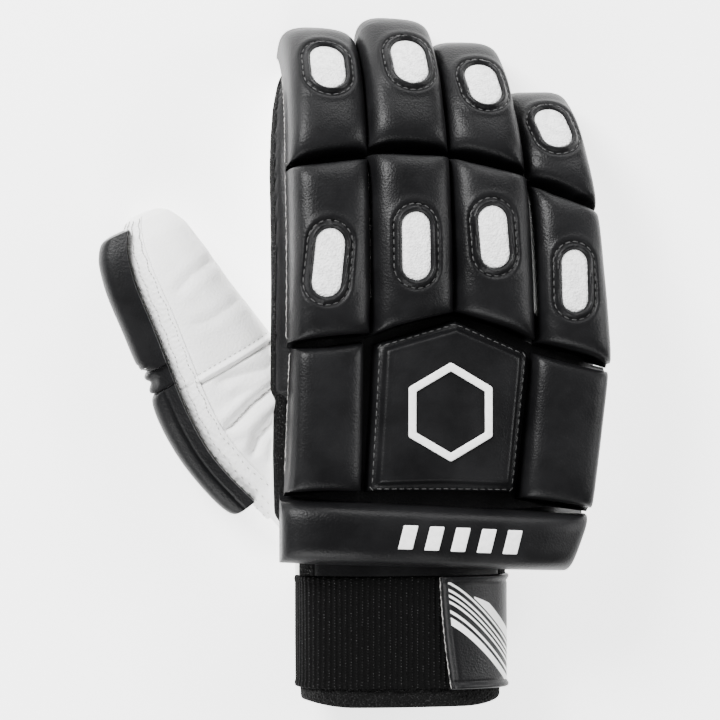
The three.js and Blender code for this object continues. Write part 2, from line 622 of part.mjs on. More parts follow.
const pieces = [];
const add = (name, solid, material) => pieces.push({ name, solid, material });

const LOOKS = {
  black_leather: { color: 0x18181a, roughness: 0.5, metalness: 0 },
  white_leather: { color: 0xf1f0ee, roughness: 0.55, metalness: 0 },
  black_mesh: { color: 0x101011, roughness: 0.95, metalness: 0 },
  white_inlay: { color: 0xf4f4f2, roughness: 0.9, metalness: 0 },
  black_elastic: { color: 0x0d0d0e, roughness: 0.95, metalness: 0 },
  white_print: { color: 0xf6f6f6, roughness: 0.4, metalness: 0 },
};

// The largest body of a solid, without the crumbs and slivers that a cut can leave.
function mainBody(solid) {
  const largest = (body) => body.decompose().sort((a, b) => b.volume() - a.volume())[0];
  return largest(toSolid(toGeometry(largest(solid)), SLIVER));
}

add('palm', mainBody(palmLeather), 'white_leather');
add('hand_back', mainBody(backLeather), 'black_leather');
const strips = [
  ['index_side_strip', null, FINGERS[0]],
  ['index_middle_fork', FINGERS[0], FINGERS[1]],
  ['middle_ring_fork', FINGERS[1], FINGERS[2]],
  ['ring_little_fork', FINGERS[2], FINGERS[3]],
  ['little_side_strip', FINGERS[3], null],
];
for (const [name, from, to] of strips) {
  add(name, mainBody(sideBand.intersect(lanePrism(from, to))), 'black_mesh');
}

// Finger pads and their inlays
FINGERS.forEach((finger, i) => {
  for (const part of [0, 1]) {
    const label = part === 0 ? 'mid' : 'tip';
    const spot = padSpot(finger, part);
    const height = PAD_HEIGHT * (part === 0 ? 1 : 0.95) - FOOT_EDGE - FOOT_LIFT;
    const raw = cushion({
      spot, height, across: 4, along: part === 0 ? 8 : 5.5, skirt: FOOT_EDGE, us: WIDE_STEPS, vs: LONG_STEPS,
    }).subtract(grownHand).intersect(table);
    const window = part === 0 ? MID_WINDOWS[i] : TIP_WINDOWS[i];
    const size = part === 0 ? [WINDOW_WIDTH, WINDOW_LENGTH] : [TIP_WINDOW_WIDTH, TIP_WINDOW_LENGTH];
    const fitted = fitWindow(raw, spot, height, window, ...size);
    add(`${finger.name}_${label}_pad`, mainBody(fitted.pad), 'black_leather');
    add(`${finger.name}_${label}_inlay`, mainBody(fitted.inlay), 'white_inlay');
  }
});

// Panels, badge frame and wrist roll
for (const panel of PANELS) {
  const us = panel.peak ? [-1, -0.97, -0.85, panel.peak.u, 0.85, 0.97, 1] : WIDE_STEPS;
  const raw = cushion({
    spot: panelSpot(panel), height: PANEL_HEIGHT, across: panel.peak ? 8 : 5, along: 8, skirt: PAD_SKIRT,
    us, vs: LONG_STEPS,
  }).subtract(grownHand);
  add(panel.name, mainBody(raw), 'black_leather');
  if (panel.peak) add('badge_frame', mainBody(badgeFrame(raw)), 'white_print');
}
const CUFF_STEPS = [-1, -0.985, -0.9, -0.4, 0.4, 0.9, 0.985, 1];
const cuffRaw = cushion({
  spot: cuffSpot(), height: CUFF_HEIGHT, across: 9, along: 3, skirt: PAD_SKIRT, us: CUFF_STEPS, vs: WIDE_STEPS,
}).subtract(grownHand);
add('cuff_roll', mainBody(cuffRaw), 'black_leather');

// Wrist band, elastic strap and tab
const bandStart = neckEnd + NECK_LAP * NECK_LENGTH;
const bandEnd = bandStart - BAND_LENGTH;
function tube(yFrom, yTo, inner, wall) {
  const outer = loft([wristRing(yFrom, inner + wall), wristRing(yTo, inner + wall)]);
  const hole = loft([wristRing(yFrom + 1, inner), wristRing(yTo - 1, inner)]);
  return outer.subtract(hole);
}
add('wrist_band', mainBody(tube(bandStart, bandEnd, -BAND_WALL, BAND_WALL)), 'black_mesh');
const strapStart = neckEnd - SEAM_GAP;
const strapInner = SEAM_GAP;
add('wrist_strap', mainBody(tube(strapStart, strapStart - STRAP_LENGTH, strapInner, STRAP_WALL)),
  'black_elastic');
const TAB_SPAN = { left: 0.18, low: -0.3 };   // where the tab starts on the back and ends below, over the width
const tabRing = tube(strapStart, strapStart - TAB_LENGTH, strapInner + STRAP_WALL + SEAM_GAP, TAB_WALL);
const tabCut = new THREE.BoxGeometry(WRIST_WIDTH, SPAN, SPAN);
tabCut.translate(WRIST_CENTRE + TAB_SPAN.left * WRIST_WIDTH + WRIST_WIDTH / 2, 0, 0);
add('strap_tab', mainBody(tabRing.intersect(toSolid(tabCut))), 'black_leather');

// The thumb: stall, binding, guard pads and the leather tab between them
const thumbOuter = thumbBody(0, 0).intersect(table);
const thumbStall = thumbOuter.subtract(hollow).subtract(grownHand);
add('thumb_stall', mainBody(thumbStall), 'white_leather');
const grownThumb = thumbBody(0, SEAM_GAP);

function guardSpot(guard) {
  const roll = THREE.MathUtils.degToRad(GUARD_ROLL);
  return (u, v) => {
    const share = (v + 1) / 2;
    const frame = thumbFrame(guard.from + share * (guard.to - guard.from));
    const outward = frame.across.clone().negate();
    const normal = outward.clone().multiplyScalar(Math.cos(roll)).addScaledVector(UP, -Math.sin(roll));
    const across = frame.tangent.clone().cross(normal).normalize();
    const halfWidth = (GUARD_WIDTH * THREE.MathUtils.lerp(guard.width[0], guard.width[1], share)) / 2;
    const point = frame.point.clone().addScaledVector(outward, frame.halfWidth + SEAM_GAP)
      .addScaledVector(across, u * halfWidth);
    return { point, normal, across, tangent: frame.tangent };
  };
}
for (const guard of THUMB_GUARDS) {
  const raw = cushion({
    spot: guardSpot(guard), height: GUARD_HEIGHT * guard.height, across: 4, along: 8, skirt: PAD_SKIRT,
    us: WIDE_STEPS, vs: LONG_STEPS,
  }).subtract(grownThumb).subtract(grownHand).intersect(table);
  add(guard.name, mainBody(raw), 'black_leather');
}

// The binding, a flat strip sewn along the stall where its top turns down to the guards
const bindingRings = Array.from({ length: 10 }, (_, k) => {
  const share = THREE.MathUtils.lerp(BINDING_PLACE.from, BINDING_PLACE.to, k / 9);
  const frame = thumbFrame(share);
  const angle = THREE.MathUtils.degToRad(BINDING_PLACE.angle);
  const [c, s] = [Math.cos(angle), Math.sin(angle)];
  const scale = (Math.abs(c) ** 2.5 + Math.abs(s) ** 2.5) ** (-1 / 2.5);
  const [x, z] = [frame.halfWidth * c * scale, frame.halfDepth * s * scale];
  const spot = frame.point.clone().addScaledVector(frame.across, x).addScaledVector(UP, z);
  const normal = frame.across.clone().multiplyScalar(c * 0.8).addScaledVector(UP, s).normalize();
  const across = frame.tangent.clone().cross(normal).normalize();
  const thick = BINDING_THICKNESS + SEAM_GAP;
  const width = (BINDING_WIDTH * (1.5 - 0.5 * share)) / 2;
  return [[-1, -1], [1, -1], [1, 1], [-1, 1]].map(([a, b]) => spot.clone()
    .addScaledVector(across, a * width).addScaledVector(normal, b * thick));
});
add('thumb_binding', mainBody(loft(bindingRings).subtract(grownThumb).subtract(grownHand)), 'white_leather');

// The glove, with its origin under the middle of its outline, on the table
const glove = new THREE.Group();
const materials = Object.fromEntries(
  Object.entries(LOOKS).map(([name, look]) => [name, new THREE.MeshStandardMaterial(look)]),
);
for (const { name, solid, material } of pieces) {
  const mesh = new THREE.Mesh(toGeometry(solid), materials[material]);
  mesh.name = name;
  glove.add(mesh);
}
const box = new THREE.Box3().setFromObject(glove);
const middle = box.getCenter(new THREE.Vector3());
glove.position.set(-middle.x, -middle.y, -box.min.z);

export default glove;
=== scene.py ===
# A right-hand cricket batting glove, lying palm down on a pale table, seen from above and a little from
# the thumb's side. It is built as a glove maker would: hand shell, thumb, finger rolls, panels, cuff, wrist.
import math
import bmesh
import bpy
import numpy as np
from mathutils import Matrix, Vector


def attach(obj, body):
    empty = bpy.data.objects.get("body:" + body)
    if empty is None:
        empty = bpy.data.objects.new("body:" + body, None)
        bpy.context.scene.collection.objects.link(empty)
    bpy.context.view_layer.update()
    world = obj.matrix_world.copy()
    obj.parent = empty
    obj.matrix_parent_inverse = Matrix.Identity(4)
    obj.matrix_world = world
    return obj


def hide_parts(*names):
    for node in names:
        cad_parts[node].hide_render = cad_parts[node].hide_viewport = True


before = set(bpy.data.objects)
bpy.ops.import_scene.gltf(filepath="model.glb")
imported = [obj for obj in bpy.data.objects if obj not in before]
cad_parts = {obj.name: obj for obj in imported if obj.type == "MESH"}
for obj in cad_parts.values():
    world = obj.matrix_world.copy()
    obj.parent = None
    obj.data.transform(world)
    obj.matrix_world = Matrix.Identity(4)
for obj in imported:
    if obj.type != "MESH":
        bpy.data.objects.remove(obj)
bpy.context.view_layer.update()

# Camera: a long lens well above the table, tipped twelve degrees towards the thumb, with the fingers up.
bpy.ops.object.select_all(action="DESELECT")
LENS_TILT = math.radians(12)
CAMERA_AIM = Vector((0.0030, -0.0001, 0.030))
CAMERA_FAR = 1.6
CAMERA_FRAME = 0.288
away = Vector((-math.sin(LENS_TILT), 0, math.cos(LENS_TILT)))
bpy.ops.object.camera_add(location=CAMERA_AIM + away * CAMERA_FAR, rotation=(0, -LENS_TILT, 0))
camera = bpy.context.object
camera.data.sensor_width = 36
camera.data.lens = 36 * CAMERA_FAR / CAMERA_FRAME
camera.data.clip_end = 20
bpy.context.scene.camera = camera

# Table and studio: a plain pale table, one large soft light from the upper left, and three weaker ones that
# open the shadows. Lights face the glove's middle.
bpy.ops.mesh.primitive_plane_add(size=6, location=(0, 0, 0))
table = bpy.context.object
table.name = "table"
table_paint = bpy.data.materials.new("pale_table")
table_paint.use_nodes = True
paint = table_paint.node_tree.nodes["Principled BSDF"]
paint.inputs["Base Color"].default_value = (0.9, 0.9, 0.9, 1)
paint.inputs["Roughness"].default_value = 0.9
paint.inputs["Specular IOR Level"].default_value = 0.1
paint.inputs["Emission Color"].default_value = (1, 1, 1, 1)
paint.inputs["Emission Strength"].default_value = 2.2
table.data.materials.append(table_paint)


def soft_light(name, place, size, watts):
    bpy.ops.object.light_add(type="AREA", location=place)
    lamp = bpy.context.object
    lamp.name = name
    lamp.data.size = size
    lamp.data.energy = watts
    lamp.rotation_euler = (-Vector(place)).to_track_quat("-Z", "Y").to_euler()


soft_light("window_light", (-1.0, 0.9, 1.0), 0.6, 76)
soft_light("right_fill", (1.6, 0.2, 0.8), 0.8, 30)
soft_light("front_fill", (-0.5, -1.5, 0.9), 1.0, 42)
soft_light("back_fill", (0.5, 1.7, 0.8), 0.9, 31)
sky = bpy.data.worlds.new("studio")
bpy.context.scene.world = sky
sky.use_nodes = True
sky.node_tree.nodes["Background"].inputs["Color"].default_value = (1, 1, 1, 1)
sky.node_tree.nodes["Background"].inputs["Strength"].default_value = 0.3

# Hand shell: a white palm, mesh side strips and a black back, sewn along two lines that run round every
# finger. One smooth form is made of the palm and four stalls, then parted along the seams, and each part
# is given its leather's thickness inwards, so that the hand's room stays open from the wrist.
def node_group(name, inputs, outputs):
    """An empty shader group with named number, colour or vector sockets."""
    group = bpy.data.node_groups.new(name, "ShaderNodeTree")
    for kind, sockets in (("INPUT", inputs), ("OUTPUT", outputs)):
        for socket, form in sockets:
            group.interface.new_socket(name=socket, in_out=kind, socket_type="NodeSocket" + form)
    return group, group.nodes.new("NodeGroupInput"), group.nodes.new("NodeGroupOutput")


def add_node(tree, kind, links=(), **values):
    """One node, with settings and unlinked sockets by name, and links to other nodes' outputs."""
    node = tree.nodes.new("ShaderNode" + kind)
    for key, value in values.items():
        if key in node.inputs:
            node.inputs[key].default_value = value
        elif hasattr(node, key):
            setattr(node, key, value)
        else:
            node.inputs[key.replace("_", " ")].default_value = value
    for source, socket in links:
        tree.links.new(source, node.inputs[socket])
    return node


def maths(tree, operation, first, second):
    node = tree.nodes.new("ShaderNodeMath")
    node.operation = operation
    for k, value in enumerate((first, second)):
        if isinstance(value, (int, float)):
            node.inputs[k].default_value = value
        else:
            tree.links.new(value, node.inputs[k])
    return node.outputs[0]


def make_grain_group():
    """Leather grain: small uneven pebbles with finer crumb, broad soft mottling, and long faint creases."""
    group, given, made = node_group(
        "leather_grain", (("Place", "Vector"), ("Pebbles", "Float"), ("Creases", "Float")),
        (("Grain", "Float"), ("Mottle", "Float")))
    place = given.outputs["Place"]
    cells = add_node(group, "TexVoronoi", [(place, "Vector"), (given.outputs["Pebbles"], "Scale")],
                     feature="SMOOTH_F1", Smoothness=0.35)
    finer = maths(group, "MULTIPLY", given.outputs["Pebbles"], 2.7)
    crumb = add_node(group, "TexNoise", [(place, "Vector"), (finer, "Scale")], Detail=3.0, Roughness=0.6)
    crease = add_node(group, "TexNoise", [(place, "Vector")], Scale=75.0, Detail=5.0, Roughness=0.62, Distortion=1.4)
    ridge = maths(group, "ABSOLUTE", maths(group, "SUBTRACT", crease.outputs[0], 0.5), 0.0)
    ridge = maths(group, "MULTIPLY", maths(group, "MINIMUM", ridge, 0.06), given.outputs["Creases"])
    fine = maths(group, "ADD", maths(group, "MULTIPLY", cells.outputs["Distance"], 0.7),
                 maths(group, "MULTIPLY", crumb.outputs[0], 0.5))
    group.links.new(maths(group, "ADD", fine, ridge), made.inputs["Grain"])
    mottle = add_node(group, "TexNoise", [(place, "Vector")], Scale=38.0, Detail=4.0, Roughness=0.6)
    group.links.new(mottle.outputs[0], made.inputs["Mottle"])
    return group


def surface(name, roughness, specular, sheen=0.0):
    """A material with its shader and the piece's own coordinates."""
    material = bpy.data.materials.new(name)
    material.use_nodes = True
    tree = material.node_tree
    shader = tree.nodes["Principled BSDF"]
    shader.inputs["Roughness"].default_value = roughness
    shader.inputs["Specular IOR Level"].default_value = specular
    shader.inputs["Sheen Weight"].default_value = sheen
    return material, tree, shader, add_node(tree, "TexCoord").outputs["Object"]


def shade_between(tree, shader, mask, dark, light, low=0.35, high=0.65):
    """Base colour that goes from dark to light with a mask."""
    ramp = add_node(tree, "ValToRGB", [(mask, "Fac")])
    ramp.color_ramp.elements[0].position, ramp.color_ramp.elements[1].position = low, high
    ramp.color_ramp.elements[0].color, ramp.color_ramp.elements[1].color = (*dark, 1), (*light, 1)
    tree.links.new(ramp.outputs[0], shader.inputs["Base Color"])


def vary_roughness(tree, shader, mask, low, high):
    spread = add_node(tree, "MapRange", [(mask, "Value")], From_Min=0.3, From_Max=0.7, To_Min=low, To_Max=high)
    tree.links.new(spread.outputs[0], shader.inputs["Roughness"])


def raise_by(tree, shader, height, strength, distance):
    bump = add_node(tree, "Bump", [(height, "Height")], Strength=strength, Distance=distance)
    tree.links.new(bump.outputs[0], shader.inputs["Normal"])


grain_group = make_grain_group()


def leather(name, dark, light, pebbles, creases, rough, relief, specular=0.5):
    material, tree, shader, place = surface(name, rough[0], specular)
    grain = tree.nodes.new("ShaderNodeGroup")
    grain.node_tree = grain_group
    grain.inputs["Pebbles"].default_value = pebbles
    grain.inputs["Creases"].default_value = creases
    tree.links.new(place, grain.inputs["Place"])
    shade_between(tree, shader, grain.outputs["Mottle"], dark, light)
    vary_roughness(tree, shader, grain.outputs["Mottle"], *rough)
    raise_by(tree, shader, grain.outputs["Grain"], relief, 0.0004)
    return material


black_leather = leather("black_leather", (0.003, 0.003, 0.0033), (0.0065, 0.0065, 0.007), 1150, 1.6,
                        (0.33, 0.44), 0.3, 0.13)
white_leather = leather("white_leather", (0.87, 0.865, 0.855), (0.93, 0.928, 0.92), 900, 3.0, (0.5, 0.62), 0.5, 0.35)


def make_black_mesh():
    """Knitted spacer mesh: rows of small round holes between soft ribs, with a painted glint: its highest loops are
    painted lighter.
    """
    material, tree, shader, place = surface("black_mesh", 0.85, 0.06)
    knit = add_node(tree, "TexVoronoi", [(place, "Vector")], Scale=640.0, Randomness=0.35)
    loops = add_node(tree, "TexNoise", [(place, "Vector")], Scale=1500.0, Detail=2.0, Roughness=0.7)
    # Painted glint: the loops that rise highest in the bump are painted lighter.
    shade_between(tree, shader, loops.outputs[0], (0.002, 0.002, 0.002), (0.09, 0.09, 0.09), 0.6, 0.78)
    height = maths(tree, "ADD", maths(tree, "MULTIPLY", knit.outputs["Distance"], 1.2), loops.outputs[0])
    raise_by(tree, shader, height, 0.9, 0.0008)
    return material


black_mesh = make_black_mesh()
PITCH = 33.2
MID_LONG = 66.6
TIP_LONG = 58.0
BACK_HIGH = 42.0
STALL_WIDE = 25.0
STALL_DEEP = 22.0
INDEX_FLARE = 7.0
LEATHER_THICK = 2.0
PALM_LONG = 118.0
PALM_WIDE = 131.0
PAD_HIGH = 18.0
SHELL_SHIFT = (19.9559, 6.7111)   # from the hand's own origin at the knuckles to the middle of the glove
LANES = {
    # name: lanes in pitches, knuckle start, mid share, tip share, drop, pad widths, end slopes, stall, flare
    "index": ((-1.02, -1, -0.935), 0.01, 1.04, 0.98, 0.02, (1, 0.99, 0.96), (0.13, 0.15, -0.03), 1, 1),
    "middle": ((0, 0, 0.02), 0.1, 1, 1, 0, (1.02, 0.985, 0.96), (0.28, -0.02, -0.22), 1, 0),
    "ring": ((1.01, 0.975, 0.91), 0.09, 0.935, 0.92, 0.02, (0.99, 0.97, 0.94), (-0.36, -0.26, -0.36), 0.98, 0),
    "little": ((2.02, 1.935, 1.83), -0.08, 0.91, 0.8, 0.06, (0.93, 0.87, 0.87), (-0.34, -0.44, -0.5), 0.88, 0),
}
FINGER_SIDE = np.array([
    # along, height, depth, width: 0 at the knuckle, 1 at the joint, 2 at the stall's tip
    (-0.3, 1, 0.95, 1), (0, 1, 1, 1), (0.5, 0.98, 0.97, 1), (1, 0.86, 0.92, 1), (1.35, 0.72, 0.87, 0.97),
    (1.65, 0.54, 0.79, 0.9), (1.85, 0.34, 0.66, 0.78), (1.96, 0.175, 0.48, 0.6), (2, 0.06, 0.2, 0.34),
])
PALM_SIDE = [
    # at, left, right, back, sole, bow
    (0.16, -0.39, 0.575, 0.97, 0.55, 1), (0.07, -0.4, 0.592, 1, 0.4, 1), (-0.14, -0.395, 0.585, 1, 0.18, 0.3),
    (-0.38, -0.4, 0.55, 1, -0.03, 0), (-0.58, -0.395, 0.48, 0.99, -0.03, 0),
]
NECK_END = -0.785 * PALM_LONG
NECK_LONG = 10.0
WRIST_WIDE = 81.0
WRIST_DEEP = 39.0
WRIST_LIFT = 4.2
PAD_GAP = 2.6
TIP_WRAP = 0.62 * PAD_HIGH


def metres(points):
    """Points of the hand, in millimetres from the knuckles, as points of the glove in metres."""
    points = np.asarray(points, dtype=float).reshape(-1, 3)
    return (points + (SHELL_SHIFT[0], SHELL_SHIFT[1], 0)) / 1000


def smooth_line(knots, samples=60):
    """A centripetal curve through the knots, as knot numbers, points and directions."""
    knots = np.asarray(knots, dtype=float)
    padded = np.vstack([2 * knots[0] - knots[1], knots, 2 * knots[-1] - knots[-2]])
    at, points, ways = [], [], []
    for i in range(len(knots) - 1):
        a, b, c, d = padded[i:i + 4]
        g0, g1, g2 = (max(np.linalg.norm(q - p) ** 0.5, 1e-4) for p, q in ((a, b), (b, c), (c, d)))
        m1 = ((b - a) / g0 - (c - a) / (g0 + g1) + (c - b) / g1) * g1
        m2 = ((c - b) / g1 - (d - b) / (g1 + g2) + (d - c) / g2) * g1
        for t in np.linspace(0, 1, samples, endpoint=i == len(knots) - 2):
            q2, q3 = -3 * b + 3 * c - 2 * m1 - m2, 2 * b - 2 * c + m1 + m2
            at.append(i + t)
            points.append(b + m1 * t + q2 * t * t + q3 * t ** 3)
            ways.append(m1 + 2 * q2 * t + 3 * q3 * t * t)
    ways = np.array(ways)
    return np.array(at), np.array(points), ways / np.linalg.norm(ways, axis=1)[:, None]


class Finger:
    """A finger's back line: where it runs, and a frame at any place along it."""

    def __init__(self, name):
        lanes, start, mid, tip, drop, self.widths, self.slopes, self.stall, self.flare = LANES[name]
        self.name = name
        self.knuckle = start * MID_LONG
        self.joint = self.knuckle + mid * MID_LONG
        self.end = self.joint + tip * TIP_LONG - TIP_WRAP
        x = np.array(lanes) * PITCH
        y = (self.knuckle, self.joint, self.end)
        knots = []
        for along, height, _, _ in FINGER_SIDE:
            k = 0 if along < 1 else 1
            s = along - k
            fade = 1 - drop * min(max(along, 0), 1)
            knots.append((x[k] + s * (x[k + 1] - x[k]), y[k] + s * (y[k + 1] - y[k]), BACK_HIGH * height * fade))
        at, self.points, self.ways = smooth_line(knots)
        self.alongs = np.interp(at, range(len(FINGER_SIDE)), FINGER_SIDE[:, 0])

    def along_at(self, y):
        near = (y - self.knuckle) / (self.joint - self.knuckle)
        far = 1 + (y - self.joint) / (self.end - self.joint)
        return np.where(y < self.joint, near, far)

    def frame(self, along):
        along = np.asarray(along, dtype=float)
        point = np.stack([np.interp(along, self.alongs, self.points[:, k]) for k in range(3)], -1)
        way = np.stack([np.interp(along, self.alongs, self.ways[:, k]) for k in range(3)], -1)
        way /= np.linalg.norm(way, axis=-1, keepdims=True)
        across = np.cross(way, (0, 0, 1))
        across /= np.linalg.norm(across, axis=-1, keepdims=True)
        return point, way, across, np.cross(across, way)

    def side(self, along, column):
        return np.interp(along, FINGER_SIDE[:, 0], FINGER_SIDE[:, column])


fingers = [Finger(name) for name in LANES]


def rounded_ring(centre, across, upward, half_wide, half_deep, power, count):
    angle = (np.arange(count) + 0.5) / count * 2 * math.pi
    c, s = np.cos(angle), np.sin(angle)
    scale = (np.abs(c) ** power + np.abs(s) ** power) ** (-1 / power)
    return (np.asarray(centre) + np.outer(half_wide * c * scale, across) + np.outer(half_deep * s * scale, upward))


def tube_of_rings(name, rings):
    """A closed tube through rings of equal count, started as a cylinder and bridged ring by ring."""
    count = len(rings[0])
    bpy.ops.object.select_all(action="DESELECT")
    bpy.ops.mesh.primitive_circle_add(vertices=count, fill_type="NOTHING")
    tube = bpy.context.object
    tube.name = name
    shape = bmesh.new()
    rows = [[shape.verts.new(p) for p in metres(ring)] for ring in rings]
    for low, high in zip(rows, rows[1:]):
        for k in range(count):
            shape.faces.new((low[k], low[(k + 1) % count], high[(k + 1) % count], high[k]))
    for row, turn in ((rows[0], True), (rows[-1], False)):
        shape.faces.new(row[::-1] if turn else row)
    bmesh.ops.recalc_face_normals(shape, faces=shape.faces)
    shape.to_mesh(tube.data)
    shape.free()
    return tube


def stall_rings(finger, count=40):
    rings = []
    for along in np.concatenate([np.arange(-0.3, 1.85, 0.05), (1.85, 1.89, 1.93, 1.96, 1.98, 2)]):
        point, _, across, normal = finger.frame(along)
        deep, wide = finger.side(along, 2) * STALL_DEEP, finger.side(along, 3)
        flare = finger.flare * INDEX_FLARE * wide
        centre = point - normal * deep / 2 - across * flare / 2
        half_wide = (STALL_WIDE * finger.stall * wide + flare) / 2
        rings.append(rounded_ring(centre, across, normal, half_wide, deep / 2, 2.8, count))
    return rings


def wrist_ring(y, grow, count):
    centre = (1.0, y, WRIST_LIFT + WRIST_DEEP / 2)
    return rounded_ring(centre, (1, 0, 0), (0, 0, 1), WRIST_WIDE / 2 + grow, WRIST_DEEP / 2 + grow, 2.4, count)


def palm_rings(count=96):
    rings = []
    for at, left, right, back, sole, bow in PALM_SIDE:
        left, right, back, sole = left * PALM_WIDE, right * PALM_WIDE, back * BACK_HIGH, sole * BACK_HIGH
        centre = ((left + right) / 2, at * PALM_LONG, (back + sole) / 2)
        ring = rounded_ring(centre, (1, 0, 0), (0, 0, 1), (right - left) / 2, (back - sole) / 2, 4.2, count)
        share = np.maximum(0, ring[:, 0]) / (PALM_WIDE * 0.6)
        ring[:, 1] -= 0.13 * PALM_LONG * bow * share ** 2
        rings.append(ring)
    rings.append(wrist_ring(NECK_END + NECK_LONG, LEATHER_THICK + 0.3, count))
    rings.append(wrist_ring(NECK_END - 4, LEATHER_THICK + 0.3, count))
    fine = []
    for low, high in zip(rings, rings[1:]):
        fine += [low + (high - low) * t for t in (0, 0.25, 0.5, 0.75)]
    return fine + [rings[-1]]


def only(piece):
    bpy.ops.object.select_all(action="DESELECT")
    piece.select_set(True)
    bpy.context.view_layer.objects.active = piece


def finish_modifier(piece, kind, **values):
    only(piece)
    modifier = piece.modifiers.new(kind.lower(), kind)
    for key, value in values.items():
        setattr(modifier, key, value)
    bpy.ops.object.modifier_apply(modifier=modifier.name)


def seam_share(points):
    """How far below the back a point lies, as a share of the stall's depth there."""
    x, y, z = points[:, 0], points[:, 1], points[:, 2]
    best = np.full(len(points), 1e9)
    share = (np.interp(y, *back_of_palm) - z) / STALL_DEEP
    for finger in fingers:
        line = np.stack([np.interp(y, finger.points[:, 1], finger.points[:, k]) for k in (0, 2)], -1)
        along = finger.along_at(y)
        off = np.abs(x - line[:, 0])
        here = (line[:, 1] - z) / (STALL_DEEP * finger.side(along, 2))
        take = (off < best) & (y > 0.1 * PALM_LONG)
        best = np.where(take, off, best)
        share = np.where(take, here, share)
    return share


back_of_palm = (
    [row[0] * PALM_LONG for row in PALM_SIDE][::-1],
    [row[3] * BACK_HIGH for row in PALM_SIDE][::-1],
)
parts = [tube_of_rings(finger.name, stall_rings(finger)) for finger in fingers]
parts.append(tube_of_rings("hand_form", palm_rings()))
bpy.ops.object.select_all(action="DESELECT")
for part in parts:
    part.select_set(True)
bpy.context.view_layer.objects.active = parts[-1]
bpy.ops.object.join()
hand_form = bpy.context.object
hand_form.name = "hand_form"
finish_modifier(hand_form, "REMESH", mode="VOXEL", voxel_size=0.0013)
finish_modifier(hand_form, "SMOOTH", factor=0.5, iterations=8)


def seam_gradient(points, share, step=0.4):
    slopes = []
    for k in range(3):
        moved = points.copy()
        moved[:, k] += step
        slopes.append((seam_share(moved) - share) / step)
    return np.stack(slopes, -1)


# The form's points nearest to a seam are drawn onto it, so that each part ends in a clean line there.
BACK_SEAM = 0.26
PALM_SEAM = 0.62
only(hand_form)
form = hand_form.data
flat = np.empty(len(form.vertices) * 3)
form.vertices.foreach_get("co", flat)
points = flat.reshape(-1, 3) * 1000 - (SHELL_SHIFT[0], SHELL_SHIFT[1], 0)
for seam in (BACK_SEAM, PALM_SEAM):
    share = seam_share(points)
    slope = seam_gradient(points, share)
    steep = (slope ** 2).sum(1)
    shift = -(share - seam)[:, None] * slope / np.maximum(steep, 1e-6)[:, None]
    near = (np.linalg.norm(shift, axis=1) < 0.72) & (steep > 4e-4)
    points[near] += shift[near]
points[:, 2] = np.maximum(points[:, 2], 0)
form.vertices.foreach_set("co", metres(points).ravel())
share = seam_share(points)
faces = np.array([share[list(face.vertices)].mean() for face in form.polygons])
middles = np.array([points[list(face.vertices)].mean(0) for face in form.polygons])
lane_of = np.full(len(faces), 0)
for finger in fingers:
    line = np.interp(middles[:, 1], finger.points[:, 1], finger.points[:, 0])
    lane_of += middles[:, 0] > line
STRIPS = ("index_side_strip", "index_middle_fork", "middle_ring_fork", "ring_little_fork", "little_side_strip")


def shell_part(name, keep, material):
    """The faces of the form that belong to one leather, with that leather's thickness inwards."""
    part = hand_form.copy()
    part.data = hand_form.data.copy()
    part.name = name + "_leather"
    bpy.context.collection.objects.link(part)
    shape = bmesh.new()
    shape.from_mesh(part.data)
    shape.faces.ensure_lookup_table()
    spare = [shape.faces[i] for i in np.nonzero(~keep)[0]]
    bmesh.ops.delete(shape, geom=spare, context="FACES")
    cut = Vector(metres((0, NECK_END, 0))[0])
    everything = shape.verts[:] + shape.edges[:] + shape.faces[:]
    bmesh.ops.bisect_plane(shape, geom=everything, plane_co=cut, plane_no=(0, -1, 0), clear_outer=True)
    shape.to_mesh(part.data)
    shape.free()
    finish_modifier(part, "SOLIDIFY", thickness=LEATHER_THICK / 1000, offset=-1)
    bpy.ops.object.shade_smooth_by_angle(angle=math.radians(50))
    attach(part, "root")
    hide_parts(name)
    part.data.materials.clear()
    part.data.materials.append(material)
    return part


shell_part("palm", faces > PALM_SEAM, white_leather)
shell_part("hand_back", faces < BACK_SEAM, black_leather)
between = (faces >= BACK_SEAM) & (faces <= PALM_SEAM)
for i, name in enumerate(STRIPS):
    shell_part(name, between & (lane_of == i), black_mesh)
bpy.data.objects.remove(hand_form)


# Finger rolls: two foam pads on each finger, covered in one black leather and sewn flat between. Each has an
# oval window with a raised ring and a row of stitches, and a white grained inlay that lies a little sunk.
ROLL_WIDE = 30.5
ROLL_LIFT = 1.8
ROLL_SKIRT = 2.5
END_BOW = 0.7
STITCH_PITCH = 3.1
INLAYS = {
    # side, along, turn, width and length of the window on the middle and on the tip roll
    "index": ((-0.13, 0.43, -6, 12, 27.5), (0.02, 0.66, 0, 14.2, 22)),
    "middle": ((-0.02, 0.455, 0, 11.8, 27.5), (0.1, 0.64, 3, 14.5, 22)),
    "ring": ((-0.09, 0.54, 2, 12, 25.3), (0.12, 0.62, 5, 13.5, 20.9)),
    "little": ((-0.07, 0.455, -3, 10.8, 25.3), (0.04, 0.6, 6, 12.8, 20.9)),
}


def edge_fall(t, power):
    return np.maximum(0, 1 - np.abs(t) ** power) ** (1 / power)


def even_spread(power, half_wide, high, count):
    """Places from -1 to 1 that lie evenly along a roll's rounded section."""
    angle = np.linspace(-math.pi / 2, math.pi / 2, 6001)
    u = np.sign(np.sin(angle)) * np.abs(np.sin(angle)) ** (2 / power)
    length = np.hypot(np.diff(u * half_wide), np.diff(high * np.abs(np.cos(angle)) ** (2 / power)))
    length = np.concatenate([[0], np.cumsum(length)])
    return np.interp(np.linspace(0, length[-1], count), length, u)


